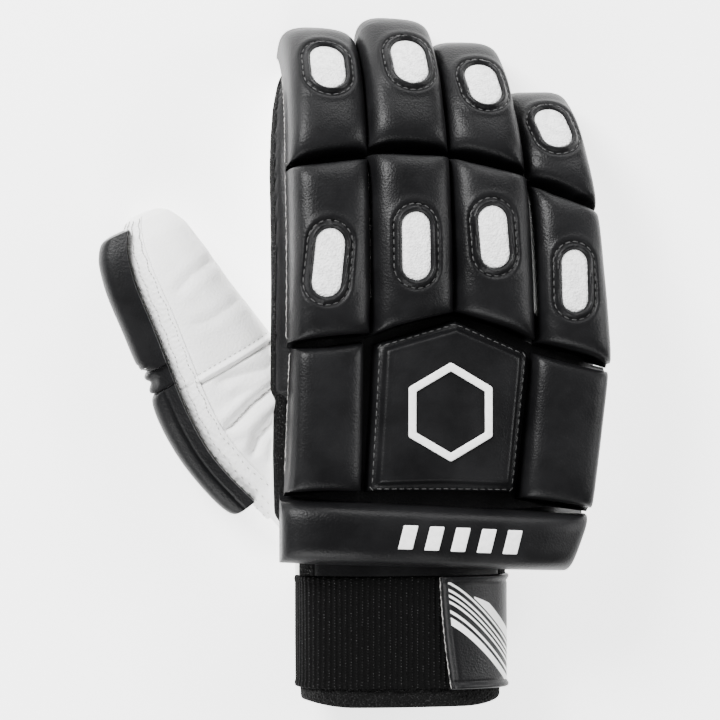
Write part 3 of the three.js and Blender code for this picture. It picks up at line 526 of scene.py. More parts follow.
def lumps(points, size, seed):
    """Gentle unevenness from -1 to 1, with waves about size long."""
    random = np.random.default_rng(seed)
    total = np.zeros(points.shape[:-1])
    for _ in range(7):
        way = random.normal(size=3)
        way *= 2 * math.pi / (size * random.uniform(0.7, 1.6)) / np.linalg.norm(way)
        total += np.sin(points @ way + random.uniform(0, 6.28))
    return total / 4


def sewn_cushion(name, top, low, material, lined=False):
    """A closed cushion: a grid drawn to the shape of its top, sides down to the seam, and a closed foot. A
    lined one has an underside that follows its top."""
    top[..., 2], low[..., 2] = np.maximum(top[..., 2], 0.05), np.maximum(low[..., 2], 0.05)
    rows, columns = top.shape[:2]
    bpy.ops.object.select_all(action="DESELECT")
    bpy.ops.mesh.primitive_grid_add(x_subdivisions=columns - 1, y_subdivisions=rows - 1, size=2)
    cushion = bpy.context.object
    cushion.name = name
    shape = bmesh.new()
    shape.from_mesh(cushion.data)
    shape.verts.ensure_lookup_table()
    at = {}
    for vertex in shape.verts:
        i = round((vertex.co.y + 1) / 2 * (rows - 1))
        j = round((vertex.co.x + 1) / 2 * (columns - 1))
        at[i, j] = vertex
    placed = metres(top).reshape(rows, columns, 3)
    for (i, j), vertex in at.items():
        vertex.co = placed[i, j]
    rim = [(0, j) for j in range(columns)] + [(i, columns - 1) for i in range(1, rows)]
    rim += [(rows - 1, j) for j in range(columns - 2, -1, -1)] + [(i, 0) for i in range(rows - 2, 0, -1)]
    foot = metres(low).reshape(rows, columns, 3)
    under = {key: shape.verts.new(foot[key]) for key in (at if lined else rim)}
    for here, after in zip(rim, rim[1:] + rim[:1]):
        shape.faces.new((at[here], under[here], under[after], at[after]))
    for i, j in at if lined else ():
        if i < rows - 1 and j < columns - 1:
            shape.faces.new((under[i, j], under[i + 1, j], under[i + 1, j + 1], under[i, j + 1]))
    for i in () if lined else range(rows - 1):
        near, far = ([under[k, j] for j in (range(columns) if k in (0, rows - 1) else (0, columns - 1))]
                     for k in (i, i + 1))
        shape.faces.new(near[::-1] + far)
    bmesh.ops.recalc_face_normals(shape, faces=shape.faces)
    shape.to_mesh(cushion.data)
    shape.free()
    only(cushion)
    bpy.ops.object.shade_smooth_by_angle(angle=math.radians(60))
    cushion.data.materials.append(material)
    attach(cushion, "root")
    return cushion


def roll_foot(finger, part, u, v):
    share = (v + 1) / 2
    start = finger.joint + PAD_GAP / 2 if part else finger.knuckle + PAD_GAP / 2
    stop = finger.end if part else finger.joint - PAD_GAP / 2
    half = ROLL_WIDE / 2 * (finger.widths[part] + (finger.widths[part + 1] - finger.widths[part]) * share)
    slope = finger.slopes[part] + (finger.slopes[part + 1] - finger.slopes[part]) * share
    if part:
        slope = slope * (1 - share ** 3)
    half = half + 0 * u
    order = fingers.index(finger)
    level = start + share * (stop - start)
    for sign in (-1, 1):
        if 0 <= order + sign < len(fingers):
            beside = fingers[order + sign]
            apart = np.abs(np.interp(level, beside.points[:, 1], beside.points[:, 0])
                           - np.interp(level, finger.points[:, 1], finger.points[:, 0]))
            closer = np.minimum(half + 1.4, np.maximum(apart / 2 - 0.06, half - 1))
            closer = closer + 0.5 * np.clip((np.abs(v) - 0.9) / 0.1, 0, 1)
            half = np.where((np.sign(u) == sign) & (level < beside.end), closer, half)
    bow = np.where(v < 0, 1, 0 if part else 1) * np.sign(v) * np.abs(v) ** 5 * END_BOW * (1 - u * u)
    y = start + share * (stop - start) + u * half * slope - bow
    point, _, across, normal = finger.frame(np.minimum(finger.along_at(y), 2))
    pinch = 1 - 0.003 * (1 - v ** 4)
    return point + across * (u * half * pinch)[..., None] + normal * ROLL_LIFT, across, normal


def roll_height(part):
    return PAD_HIGH * (0.95 if part else 1) - ROLL_LIFT


def roll_top(finger, part, u, v):
    foot, across, normal = roll_foot(finger, part, u, v)
    high = roll_height(part) * (0.94 + 0.06 * (1 - u * u)) * edge_fall(u, 4) * edge_fall(v, 5.5 if part else 8)
    return foot + normal * high[..., None], across, normal


class Window:
    """The oval window of a roll: its middle on the leather, and distances from its edge."""

    def __init__(self, finger, part):
        side, along, turn, self.wide, self.long = INLAYS[finger.name][part]
        self.finger, self.part = finger, part
        self.u, self.v = np.array(side), np.array(along * 2 - 1)
        self.middle, across, self.out = (np.asarray(x) for x in roll_top(finger, part, self.u, self.v))
        along_way = np.cross(self.out, across)
        turn = math.radians(turn)
        self.a = across * math.cos(turn) + along_way * math.sin(turn)
        self.b = along_way * math.cos(turn) - across * math.sin(turn)

    def distance(self, points):
        off = points - self.middle
        a, b = off @ self.a, off @ self.b
        straight = (self.long - self.wide) / 2
        far = np.hypot(a, np.maximum(np.abs(b) - straight, 0)) - self.wide / 2
        return np.where(off @ self.out > -9, far, 99)

    def oval(self, grow, count):
        """Points (a, b) evenly round the window, grown by that much."""
        radius, straight = self.wide / 2 + grow, (self.long - self.wide) / 2
        around = np.linspace(0, 2 * math.pi * radius + 4 * straight, count, endpoint=False)
        arc = math.pi * radius
        half = around % (arc + 2 * straight)
        turned = np.where(around < arc + 2 * straight, 1, -1)
        angle = np.minimum(half, arc) / radius
        a = np.where(half < arc, np.cos(angle) * radius, -radius) * turned
        b = np.where(half < arc, np.sin(angle) * radius + straight, straight - (half - arc)) * turned
        return np.stack([a, b], -1)

    def on_leather(self, ab):
        """Where (a, b) of the window's plane meets the roll's leather."""
        a, b = ab[:, 0], ab[:, 1]
        u, v = self.u + a / 15, self.v + b / 30
        for _ in range(14):
            off = roll_top(self.finger, self.part, u, v)[0] - self.middle
            u = np.clip(u + (a - off @ self.a) / 15, -0.97, 0.97)
            v = np.clip(v + (b - off @ self.b) / 32, -0.97, 0.97)
        return roll_top(self.finger, self.part, u, v)[0]


def window_relief(d):
    """Height of the leather by distance from the window: sunk inside, a raised ring, then the stitch groove."""
    inside = np.clip((0.35 - d) / 1.0, 0, 1)
    sunk = -2.6 * inside * inside * (3 - 2 * inside)
    ring = 1.05 * np.exp(-((d - 1.25) / 0.8) ** 2)
    groove = -0.85 * np.exp(-((d - 3.0) / 0.62) ** 2)
    return sunk + ring + groove + 0.3 * np.exp(-((d - 4.9) / 1.3) ** 2)


def thread(name, dark, light):
    """Twisted thread: fine slanted ridges, with a painted highlight along each ridge."""
    material, tree, shader, place = surface(name, 0.5, 0.4)
    twist = add_node(tree, "TexWave", [(place, "Vector")], Scale=1400.0, Distortion=2.0, bands_direction="DIAGONAL")
    # Painted highlight: the ridges of the twist are painted in the lighter colour, following the bump.
    shade_between(tree, shader, twist.outputs[0], dark, light, 0.2, 0.8)
    raise_by(tree, shader, twist.outputs[0], 0.4, 0.0001)
    return material


black_thread = thread("black_thread", (0.012, 0.012, 0.012), (0.07, 0.07, 0.07))
bpy.ops.object.select_all(action="DESELECT")
bpy.ops.mesh.primitive_uv_sphere_add(segments=8, ring_count=6, radius=1)
one_stitch = bpy.context.object
stitch_points = np.array([vertex.co[:] for vertex in one_stitch.data.vertices])
stitch_faces = [list(face.vertices) for face in one_stitch.data.polygons]
bpy.data.objects.remove(one_stitch)


def stitch_row(name, places, ways, outs, material, long=2.3, wide=0.55, high=0.42):
    """A row of stitches as one piece: each is a short thread with its ends pulled into the leather."""
    places, outs = np.asarray(places), np.asarray(outs)
    ways = np.asarray(ways) / np.linalg.norm(ways, axis=1)[:, None]
    sides = np.cross(outs, ways)
    sides /= np.linalg.norm(sides, axis=1)[:, None]
    ups = np.cross(ways, sides)
    along = stitch_points[:, 2]
    x = np.sign(along) * np.abs(along) ** 0.8 * long / 2
    y = stitch_points[:, 0] * wide / 2
    z = stitch_points[:, 1] * high / 2 - 0.28 * along ** 4
    body = (places[:, None] + ways[:, None] * x[None, :, None] + sides[:, None] * y[None, :, None]
            + ups[:, None] * z[None, :, None])
    faces = [[v + k * len(stitch_points) for v in face] for k in range(len(places)) for face in stitch_faces]
    mesh = bpy.data.meshes.new(name)
    mesh.from_pydata(metres(body).tolist(), [], faces)
    row = bpy.data.objects.new(name, mesh)
    bpy.context.collection.objects.link(row)
    shape = bmesh.new()
    shape.from_mesh(mesh)
    bmesh.ops.recalc_face_normals(shape, faces=shape.faces)
    shape.to_mesh(mesh)
    shape.free()
    only(row)
    bpy.ops.object.shade_smooth()
    mesh.materials.append(material)
    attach(row, "root")
    return row


def make_white_inlay():
    """White coated leather with a fine pebbled face."""
    material, tree, shader, place = surface("white_inlay", 0.55, 0.4)
    pebbles = add_node(tree, "TexVoronoi", [(place, "Vector")], Scale=1050.0, feature="SMOOTH_F1", Smoothness=0.3)
    tone = add_node(tree, "TexNoise", [(place, "Vector")], Scale=420.0, Detail=4.0)
    shade_between(tree, shader, tone.outputs[0], (0.72, 0.72, 0.72), (0.88, 0.88, 0.88), 0.38, 0.6)
    raise_by(tree, shader, pebbles.outputs["Distance"], 0.8, 0.0006)
    return material


white_inlay = make_white_inlay()
for k, finger in enumerate(fingers):
    for part, part_name in enumerate(("mid", "tip")):
        name = f"{finger.name}_{part_name}"
        window = Window(finger, part)
        power = 5.5 if part else 8
        us = even_spread(4, ROLL_WIDE / 2, roll_height(part), 90)
        vs = even_spread(power, 27, roll_height(part), 146)
        v, u = np.meshgrid(vs, us, indexing="ij")
        top, _, normal = roll_top(finger, part, u, v)
        spread = np.where((v > 0) & (part == 1), v, v * 1.055)
        foot = roll_foot(finger, part, u, spread)[0] - normal * ROLL_SKIRT
        upper = edge_fall(u, 4) * edge_fall(v, power)
        far = window.distance(top)
        relief = window_relief(far) + lumps(top, 24, 3 + k * 2 + part) * 0.32 * np.clip(far / 5, 0, 1)
        top = top + normal * (relief * np.clip(upper * 1.6, 0, 1))[..., None]
        roll = sewn_cushion(name + "_roll", top, foot, black_leather)
        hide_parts(name + "_pad")

        rings = []
        dome = (0.92, 0.85, 0.76, 0.66, 0.55, 0.44, 0.33, 0.22, 0.12, 0.05)
        steps = [(1, 2.4), (1, 0.95), (0.992, 0.68), (0.97, 0.52)] + [(s, 0.5 - 0.35 * (1 - s ** 3)) for s in dome]
        for scale, sunk in steps:
            edge = window.oval(-0.1, 96) * scale
            rings.append(window.on_leather(edge) - window.out * sunk)
        inlay = tube_of_rings(name + "_white_oval", rings)
        only(inlay)
        bpy.ops.object.shade_smooth_by_angle(angle=math.radians(60))
        inlay.data.materials.append(white_inlay)
        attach(inlay, "root")
        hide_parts(name + "_inlay")

        round_it = 2 * math.pi * (window.wide / 2 + 3) + 2 * (window.long - window.wide)
        count = round(round_it / STITCH_PITCH)
        line = window.on_leather(window.oval(3.0, count)) - window.out * 0.5
        ways = np.roll(line, -1, 0) - np.roll(line, 1, 0)
        stitch_row(name + "_window_stitches", line, ways, np.tile(window.out, (count, 1)), black_thread)


# Panels on the back of the hand: three foam pads covered in the black leather. The middle one is a five-sided
# patch with a low stitched rim, and carries a plain white six-sided frame that is printed thick.
PANEL_HIGH = 13.5
PANELS = {
    # corners from above: bottom left, bottom right, top right, top left, in pitches and palm lengths; section
    "index_panel": (((-1.5, -0.5), (-0.615, -0.5), (-0.585, 0.004), (-1.43, -0.02)), None, 5),
    "badge_panel": (((-0.54, -0.5), (1.25, -0.505), (1.42, -0.035), (-0.44, -0.005)), (0.03, 0.075), 8),
    "outer_panel": (((1.33, -0.525), (2.24, -0.56), (2.44, -0.098), (1.51, -0.035)), None, 5),
}


def panel_foot(name, u, v):
    corners, peak, _ = PANELS[name]
    (x0, y0), (x1, y1), (x2, y2), (x3, y3) = ((x * PITCH, y * PALM_LONG) for x, y in corners)
    s, t = (u + 1) / 2, (v + 1) / 2
    edge = y3 + s * (y2 - y3)
    if peak:
        high = peak[1] * PALM_LONG
        edge = np.where(u < peak[0], y3 + (u + 1) / (peak[0] + 1) * (high - y3),
                        high + (u - peak[0]) / (1 - peak[0]) * (y2 - high))
    x = (1 - t) * (x0 + s * (x1 - x0)) + t * (x3 + s * (x2 - x3))
    y = (1 - t) * (y0 + s * (y1 - y0)) + t * edge
    return np.stack([x, y, np.interp(y, *back_of_palm)], -1)


def panel_top(name, u, v):
    power = PANELS[name][2]
    high = PANEL_HIGH * (0.94 + 0.06 * (1 - u * u)) * edge_fall(u, power) * edge_fall(v, 8)
    if name == "badge_panel":
        wide, long = 30.5, 29.0
        rim = np.minimum(np.minimum((1 - np.abs(u)) * wide, (v + 1) * long), (1 - v) * (long + 3))
        step = np.clip((rim - 2.5) / 1.5, 0, 1)
        high = high - 2.0 * (1 - step * step * (3 - 2 * step)) * edge_fall(u, power) * edge_fall(v, 8)
        high = high + 0.25 * np.exp(-((rim - 4.6) / 1.0) ** 2)
    return panel_foot(name, u, v) + high[..., None] * (0, 0, 1)


def lift_to(under, points, rise=0.0):
    """The points, dropped from above onto a piece, and raised by that many millimetres."""
    placed = metres(points)
    for k, place in enumerate(placed):
        found, hit, _, _ = under.ray_cast(Vector((place[0], place[1], 0.2)), Vector((0, 0, -1)))
        if found:
            placed[k, 2] = hit.z
    back = placed * 1000 - (SHELL_SHIFT[0], SHELL_SHIFT[1], 0)
    back[:, 2] += rise
    return back


for k, name in enumerate(PANELS):
    peak = PANELS[name][1]
    wide = 30.0 if peak else 15.0
    us = even_spread(PANELS[name][2], wide, PANEL_HIGH, 126 if peak else 84)
    vs = even_spread(8, 29, PANEL_HIGH, 126)
    if peak:
        us[np.argmin(np.abs(us - peak[0]))] = peak[0]
    v, u = np.meshgrid(vs, us, indexing="ij")
    top = panel_top(name, u, v)
    inner = np.clip(np.minimum(1 - np.abs(u), 1 - np.abs(v)) * 6, 0, 1)
    top[..., 2] += lumps(top, 30, 41 + k) * 0.3 * inner
    bowed = 0.6 * (1 - u * u) * np.clip(-v, 0, 1) ** 5 - (0 if peak else 0.6) * (1 - u * u) * np.clip(v, 0, 1) ** 5
    top[..., 1] += bowed
    foot = panel_foot(name, u, v * 1.06) - (0, 0, 2.5)
    foot[..., 1] += bowed
    panel = sewn_cushion(name + "_cover", top, foot, black_leather)
    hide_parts(name)
    if peak:
        badge_panel = panel

corner_u, corner_v = 1 - 1.35 / 30.5, 1 - 1.35 / 31
rim_line = [(x * corner_u, -corner_v) for x in np.linspace(-1, 1, 20)]
rim_line += [(corner_u, x * corner_v) for x in np.linspace(-1, 1, 17)[1:]]
rim_line += [(x * corner_u, corner_v) for x in np.linspace(1, -1, 21)[1:]]
rim_line += [(-corner_u, x * corner_v) for x in np.linspace(1, -1, 18)[1:-1]]
rim_line = np.array(rim_line)
rim_points = panel_top("badge_panel", rim_line[:, 0], rim_line[:, 1])
rim_points = lift_to(badge_panel, rim_points, 0.12)
rim_ways = np.roll(rim_points, -1, 0) - np.roll(rim_points, 1, 0)
stitch_row("badge_rim_stitches", rim_points, rim_ways, np.tile((0, 0, 1.0), (len(rim_points), 1)), black_thread)


def make_white_print():
    """Thick screen print: slightly domed, soft gloss, with a trace of the leather's grain in it."""
    material, tree, shader, place = surface("white_print", 0.4, 0.5)
    tone = add_node(tree, "TexNoise", [(place, "Vector")], Scale=500.0, Detail=3.0)
    shade_between(tree, shader, tone.outputs[0], (0.8, 0.8, 0.8), (0.9, 0.9, 0.9), 0.35, 0.6)
    raise_by(tree, shader, tone.outputs[0], 0.3, 0.0002)
    return material


white_print = make_white_print()


def printed_shape(name, outline, under, rise, soft, hole=None):
    """A thick print: its outline extruded, its upper edge rounded, and the whole laid on the leather."""
    bpy.ops.object.select_all(action="DESELECT")
    bpy.ops.mesh.primitive_circle_add(vertices=len(outline), fill_type="NOTHING")
    shape_object = bpy.context.object
    shape_object.name = name
    shape = bmesh.new()
    loops = [outline] if hole is None else [outline, hole]
    if hole is None:
        middle = np.mean(outline, axis=0)
        loops = [outline, middle + (outline - middle) * 0.5]
    rows = []
    for loop, inward in zip(loops, (-1, 1)):
        turn = np.roll(loop, -1, 0) - np.roll(loop, 1, 0)
        turn /= np.linalg.norm(turn, axis=1)[:, None]
        outward = np.stack([turn[:, 1], -turn[:, 0]], -1)
        for back, height in ((0, -0.6), (0, rise * 0.55), (soft * 0.35, rise * 0.88), (soft, rise)):
            shifted = loop + outward * back * (inward if hole is not None or inward < 0 else 0)
            flat = np.column_stack([shifted, np.zeros(len(loop))])
            laid = lift_to(under, flat) + (0, 0, height if (hole is not None or inward < 0) else rise)
            rows.append([shape.verts.new(p) for p in metres(laid)])
    if hole is not None:
        order = [rows[0], rows[1], rows[2], rows[3], rows[7], rows[6], rows[5], rows[4]]
    else:
        order = [rows[0], rows[1], rows[2], rows[3], rows[7]]
    count = len(outline)
    pairs = list(zip(order, order[1:]))
    if hole is not None:
        pairs.append((order[-1], order[0]))
    for low, high in pairs:
        for k in range(count):
            shape.faces.new((low[k], low[(k + 1) % count], high[(k + 1) % count], high[k]))
    if hole is None:
        shape.faces.new(order[-1])
        shape.faces.new(order[0][::-1])
        for row in rows[4:7]:
            bmesh.ops.delete(shape, geom=row, context="VERTS")
    bmesh.ops.recalc_face_normals(shape, faces=shape.faces)
    shape.to_mesh(shape_object.data)
    shape.free()
    only(shape_object)
    bpy.ops.object.shade_smooth_by_angle(angle=math.radians(50))
    shape_object.data.materials.append(white_print)
    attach(shape_object, "root")
    return shape_object


def straight_outline(corners, round_by, steps):
    """A closed outline through the corners, each rounded a little, with points along its sides."""
    corners = np.asarray(corners, dtype=float)
    line = []
    for before, here, after in zip(np.roll(corners, 1, 0), corners, np.roll(corners, -1, 0)):
        a = here + (before - here) * round_by / np.linalg.norm(before - here)
        b = here + (after - here) * round_by / np.linalg.norm(after - here)
        for t in np.linspace(0, 1, 6):
            line.append((1 - t) ** 2 * a + 2 * t * (1 - t) * here + t * t * b)
        goal = after + (here - after) * round_by / np.linalg.norm(after - here)
        line += [b + (goal - b) * t for t in np.linspace(0, 1, steps + 1)[1:-1]]
    return np.array(line)


BADGE_MIDDLE = np.array((0.43 * PITCH, -0.232 * PALM_LONG))
BADGE_ACROSS = 34.0
BADGE_BAND = 3.0
angles = np.radians(90 + 60 * np.arange(6))
six = np.stack([np.cos(angles), np.sin(angles)], -1)
outer_six = straight_outline(BADGE_MIDDLE + six * BADGE_ACROSS / math.sqrt(3), 0.8, 10)
inner_six = straight_outline(BADGE_MIDDLE + six * (BADGE_ACROSS - 2 * BADGE_BAND) / math.sqrt(3), 0.5, 10)
badge_frame = printed_shape("badge_frame_print", outer_six, badge_panel, 0.85, 0.5, inner_six)
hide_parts("badge_frame")


# Cuff roll: one long foam roll across the wrist in the black leather, square at the thumb's end and rounded
# off at the other, with five plain slanted bars printed on it.
CUFF_LONG = 124.0
CUFF_WIDE = 25.5
CUFF_HIGH = 16.0


def cuff_foot(u, v):
    left = -0.411 * CUFF_LONG
    top = -0.5 * PALM_LONG - PAD_GAP
    run = (u + 1) / 2 * CUFF_LONG
    t = (v + 1) / 2
    taper = 1 - 0.07 * (1 - t) * (1 + u) / 2
    high, low = top - 0.055 * run, top - CUFF_WIDE - 0.035 * run
    y = low + t * (high - low)
    z = np.interp(y, *back_of_palm) * (1 - 0.12 * np.abs(u) ** 5)
    return np.stack([left + run * taper, y, z], -1)


us = even_spread(9, CUFF_LONG / 2, CUFF_HIGH, 200)
vs = even_spread(3, CUFF_WIDE / 2, CUFF_HIGH, 70)
v, u = np.meshgrid(vs, us, indexing="ij")
out = np.stack([u * 0.12, 0 * u, 1 + 0 * u], -1)
out /= np.linalg.norm(out, axis=-1, keepdims=True)
foot = cuff_foot(u, v)
high = CUFF_HIGH * (0.94 + 0.06 * (1 - u * u)) * edge_fall(u, 9) * edge_fall(v, 3.4)
top = foot + out * (high + lumps(foot, 34, 77) * 0.45 * edge_fall(u, 3) * edge_fall(v, 3))[..., None]
top[..., 1] -= 0.8 * np.exp(-((u + 1) / 0.05) ** 2) * np.clip(v, 0, 1)
low = cuff_foot(u, np.where(v > 0, v * 1.16, v))
cuff = sewn_cushion("cuff_roll_cover", top, low - out * 2.5, black_leather)
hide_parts("cuff_roll")
for k in range(5):
    x = -5.5 + k * 10.6
    y = -76.6 - 0.055 * (k * 10.6)
    bar = [(x - 1.9, y - 4.7), (x + 3.9, y - 4.9), (x + 6.3, y + 4.5), (x + 0.5, y + 4.7)]
    printed_shape(f"cuff_bar_{k + 1}", straight_outline(bar, 0.5, 6), cuff, 0.5, 0.4)


# Thumb: a white leather stall with a welted seam across it and soft folds below, a quilted binding sewn along
# its outer edge, and on the outside a black foam guard in two pads with a leather hinge between them.
THUMB_ROOT = np.array((-36.0, -58.0))
THUMB_LONG, THUMB_WIDE, THUMB_DEEP = 123.0, 44.0, 34.0
THUMB_ROWS = np.array([
    # across, along, rise, width, depth
    (0, 0, 0.38, 0.88, 0.66), (-0.16, 0.2, 0.42, 1.06, 0.76), (-0.24, 0.34, 0.46, 1.08, 0.86),
    (-0.315, 0.47, 0.475, 0.96, 0.95), (-0.386, 0.592, 0.497, 0.836, 1), (-0.461, 0.724, 0.52, 0.745, 0.96),
    (-0.505, 0.82, 0.51, 0.62, 0.78), (-0.53, 0.875, 0.5, 0.42, 0.5), (-0.54, 0.9, 0.5, 0.2, 0.24),
])
thumb_knots = np.column_stack([THUMB_ROOT + THUMB_ROWS[:, :2] * THUMB_LONG, THUMB_ROWS[:, 2] * THUMB_DEEP])
thumb_at, thumb_line, thumb_ways = smooth_line(thumb_knots)


def smooth_row(t, column):
    """A width or depth along the thumb, smoothed between its rows."""
    rows = len(THUMB_ROWS) - 1
    near = [np.interp(np.clip(t * rows + d, 0, rows), range(rows + 1), THUMB_ROWS[:, column]) for d in
            (-0.35, -0.15, 0, 0.15, 0.35)]
    return np.mean(near, axis=0)


def thumb_frame(t):
    t = np.clip(np.asarray(t, dtype=float), 0, 1)
    at = t * (len(THUMB_ROWS) - 1)
    point = np.stack([np.interp(at, thumb_at, thumb_line[:, k]) for k in range(3)], -1)
    way = np.stack([np.interp(at, thumb_at, thumb_ways[:, k]) for k in range(2)] + [0 * at], -1)
    way /= np.linalg.norm(way, axis=-1, keepdims=True)
    return point, way, np.cross(way, (0, 0, 1)), smooth_row(t, 3) * THUMB_WIDE / 2, smooth_row(t, 4) * THUMB_DEEP / 2


def thumb_skin(t, angle, lift=0.0):
    """A point of the stall's leather at a place along the thumb and round its section, and its normal."""
    point, _, across, half_wide, half_deep = thumb_frame(t)
    c, s = np.cos(angle), np.sin(angle)
    scale = (np.abs(c) ** 2.5 + np.abs(s) ** 2.5) ** (-1 / 2.5)
    x, z = half_wide * c * scale, half_deep * s * scale
    flat = np.stack([np.sign(c) * np.abs(c * scale) ** 1.5 / half_wide,
                     np.sign(s) * np.abs(s * scale) ** 1.5 / half_deep], -1)
    flat /= np.linalg.norm(flat, axis=-1, keepdims=True)
    out = across * flat[..., :1] + np.array((0, 0, 1.0)) * flat[..., 1:]
    skin = point + across * x[..., None] + np.array((0, 0, 1.0)) * z[..., None]
    return skin + out * lift, out


def off_line(points, line):
    """Signed distance from a line seen from above, and the share of the line passed."""
    best, side, share = np.full(len(points), 1e9), np.zeros(len(points)), np.zeros(len(points))
    line = np.asarray(line, dtype=float)
    for k, (a, b) in enumerate(zip(line, line[1:])):
        t = np.clip(((points - a) @ (b - a)) / ((b - a) @ (b - a)), 0, 1)
        gap = points - (a + t[:, None] * (b - a))
        far = np.linalg.norm(gap, axis=1)
        turn = np.sign((b - a)[0] * gap[:, 1] - (b - a)[1] * gap[:, 0])
        near = far < best
        best, side = np.where(near, far, best), np.where(near, turn, side)
        share = np.where(near, (k + t) / (len(line) - 1), share)
    return best * np.where(side == 0, 1, side), share


WELT = ((-82.0, -14.6), (-66.5, -5.6), (-46.0, 6.2))
FOLDS = (
    # line seen from above, depth, sharpness, puff beside it
    (((-76.5, -16.5), (-66.0, -13.0), (-50.0, -9.0)), 0.9, 2.0, 0.5),
    (((-71.5, -35.5), (-67.0, -31.5), (-60.5, -24.5), (-49.0, -15.5)), 2.6, 0.95, 1.5),
    (((-60.5, -46.5), (-57.5, -37.5), (-48.0, -27.0)), 2.2, 1.1, 1.4),
    (((-93.5, 18.0), (-86.0, 26.5), (-76.5, 33.0)), 0.55, 2.2, 0.35),
    (((-70.0, -23.5), (-62.0, -19.0), (-51.0, -12.0)), 0.5, 1.6, 0.3),
    (((-88.0, 6.0), (-78.0, 9.0), (-66.0, 17.0)), 0.35, 2.0, 0.25),
)


def thumb_relief(points):
    flat = points[:, :2]
    d, share = off_line(flat, WELT)
    inside = 1 / (1 + np.exp(-d / 0.35))
    rise = -0.7 * (1 - inside) * np.exp(-np.abs(np.minimum(d, 0)) / 9)
    rise += 1.25 * np.exp(-(np.abs(d + 0.4) / 0.95) ** 4) - 1.2 * np.exp(-((d + 1.9) / 0.55) ** 2)
    rise -= 0.3 * np.exp(-((d - 1.9) / 0.5) ** 2)
    for line, depth, sharp, puff in FOLDS:
        d, share = off_line(flat, line)
        fade = np.clip(np.minimum(share, 1.0) * 5, 0, 1)
        rise += fade * (-1.35 * depth * np.exp(-np.abs(d) / sharp) + puff * np.exp(-((np.abs(d) - 4.2) / 2.6) ** 2))
    return rise + 0.3 * lumps(points, 20, 91)


shares = np.concatenate([np.linspace(0.0, 0.88, 200), 0.88 + 0.078 * np.sin(np.linspace(0, math.pi / 2, 34))[1:]])
rings = []
around = np.linspace(0, 2 * math.pi, 180, endpoint=False)
for t in shares:
    ring, out = thumb_skin(np.full(180, t), around)
    upper = np.clip(out[:, 2] * 2.2, 0, 1)
    ring = ring + out * (thumb_relief(ring) * upper * np.clip((1 - t) * 9, 0, 1))[:, None]
    ring[:, 2] = np.maximum(ring[:, 2], 0)
    rings.append(ring)
last = rings[-1].mean(0)
for shrink, ahead in ((0.8, 0.25), (0.5, 0.45), (0.2, 0.55)):
    rings.append(last + (rings[len(shares) - 1] - last) * shrink + thumb_frame(1.0)[1] * ahead)
stall = tube_of_rings("thumb_stall_leather", rings)
only(stall)
bpy.ops.object.shade_smooth_by_angle(angle=math.radians(70))
stall.data.materials.append(white_leather)
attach(stall, "root")
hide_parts("thumb_stall")


# Grey thread, with its twist ridges painted lighter as a painted highlight.
grey_thread = thread("grey_thread", (0.28, 0.28, 0.27), (0.5, 0.5, 0.48))


def seam_along(under, line, spacing):
    """Evenly spaced points along a line seen from above, laid on a piece, with directions."""
    line = np.asarray(line, dtype=float)
    length = np.concatenate([[0], np.cumsum(np.linalg.norm(np.diff(line, axis=0), axis=1))])
    at = np.arange(spacing / 2, length[-1], spacing)
    flat = np.stack([np.interp(at, length, line[:, k]) for k in range(2)] + [0 * at], -1)
    laid = lift_to(under, flat)
    laid = laid[laid[:, 2] > 5]   # where the line has left the piece
    return laid, np.gradient(laid, axis=0)


welt_line = np.array(WELT)
welt_way = (welt_line[-1] - welt_line[0]) / np.linalg.norm(welt_line[-1] - welt_line[0])
points, ways = seam_along(stall, welt_line + np.array((-welt_way[1], welt_way[0])) * 1.95, 2.3)
stitch_row("thumb_welt_stitches", points, ways, np.tile((0, 0, 1.0), (len(points), 1)), grey_thread, 1.5, 0.5, 0.45)

section = np.linspace(math.pi / 2, math.pi, 400)
section_x = -np.cos(section) * (np.abs(np.cos(section)) ** 2.5 + np.abs(np.sin(section)) ** 2.5) ** (-1 / 2.5)


def binding_angle(t, q):
    """Where the binding's width runs round the section: q is 0 at its inner stitch line, 1 at the guard."""
    half_wide = thumb_frame(t)[3]
    broad = np.interp(t, (0, 0.3, 0.6, 0.85, 1), (9.5, 8.8, 8.0, 5.6, 3.5))
    inner = np.interp((half_wide - broad) / half_wide, section_x, section)
    return inner + (math.radians(172) - inner) * q


rows, columns = 290, 34
t = np.linspace(0.0, 0.935, rows)[:, None] + np.zeros(columns)
q = np.linspace(0, 1, columns)[None, :] + np.zeros((rows, 1))
strip, out = thumb_skin(t, binding_angle(t, q))
drift, size = lumps(strip, 7, 47), 0.5 + 0.35 * lumps(strip, 4, 48)
quilt = 0.42 * size * np.abs(np.sin(t * 205 + q * 7 + 1.6 * drift)) * np.abs(np.sin(q * 10 + drift))
quilt += 0.13 * lumps(strip, 1.6, 49)
edge = np.clip(np.minimum(q * 12, (1 - q) * 4), 0, 1) * np.clip((0.935 - t) * 22, 0, 1)
under_lift = thumb_relief(strip.reshape(-1, 3)).reshape(rows, columns) * np.clip(out[..., 2] * 2.2, 0, 1)
top = strip + out * (0.8 + quilt * 1.1 * edge + np.maximum(under_lift, -0.3))[..., None]
low = strip - out * 0.6
bpy.ops.object.select_all(action="DESELECT")
binding = sewn_cushion("thumb_binding_strip", top, low, white_leather, lined=True)
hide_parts("thumb_binding")
for name, place, spacing, dash in (("inner", 0.07, 1.9, 1.2), ("middle", 0.33, 2.1, 1.1),
                                   ("third", 0.55, 2.2, 1.0), ("outer", 0.8, 2.4, 1.2)):
    t = np.arange(0.01, 0.92, spacing / 150)
    q = place + 0.02 * np.sin(t * 90)
    line, out = thumb_skin(t, binding_angle(t, q), 1.05 if place < 0.1 else 1.4)
    stitch_row(f"thumb_binding_{name}_stitches", line, np.gradient(line, axis=0), out, grey_thread, dash, 0.4, 0.4)

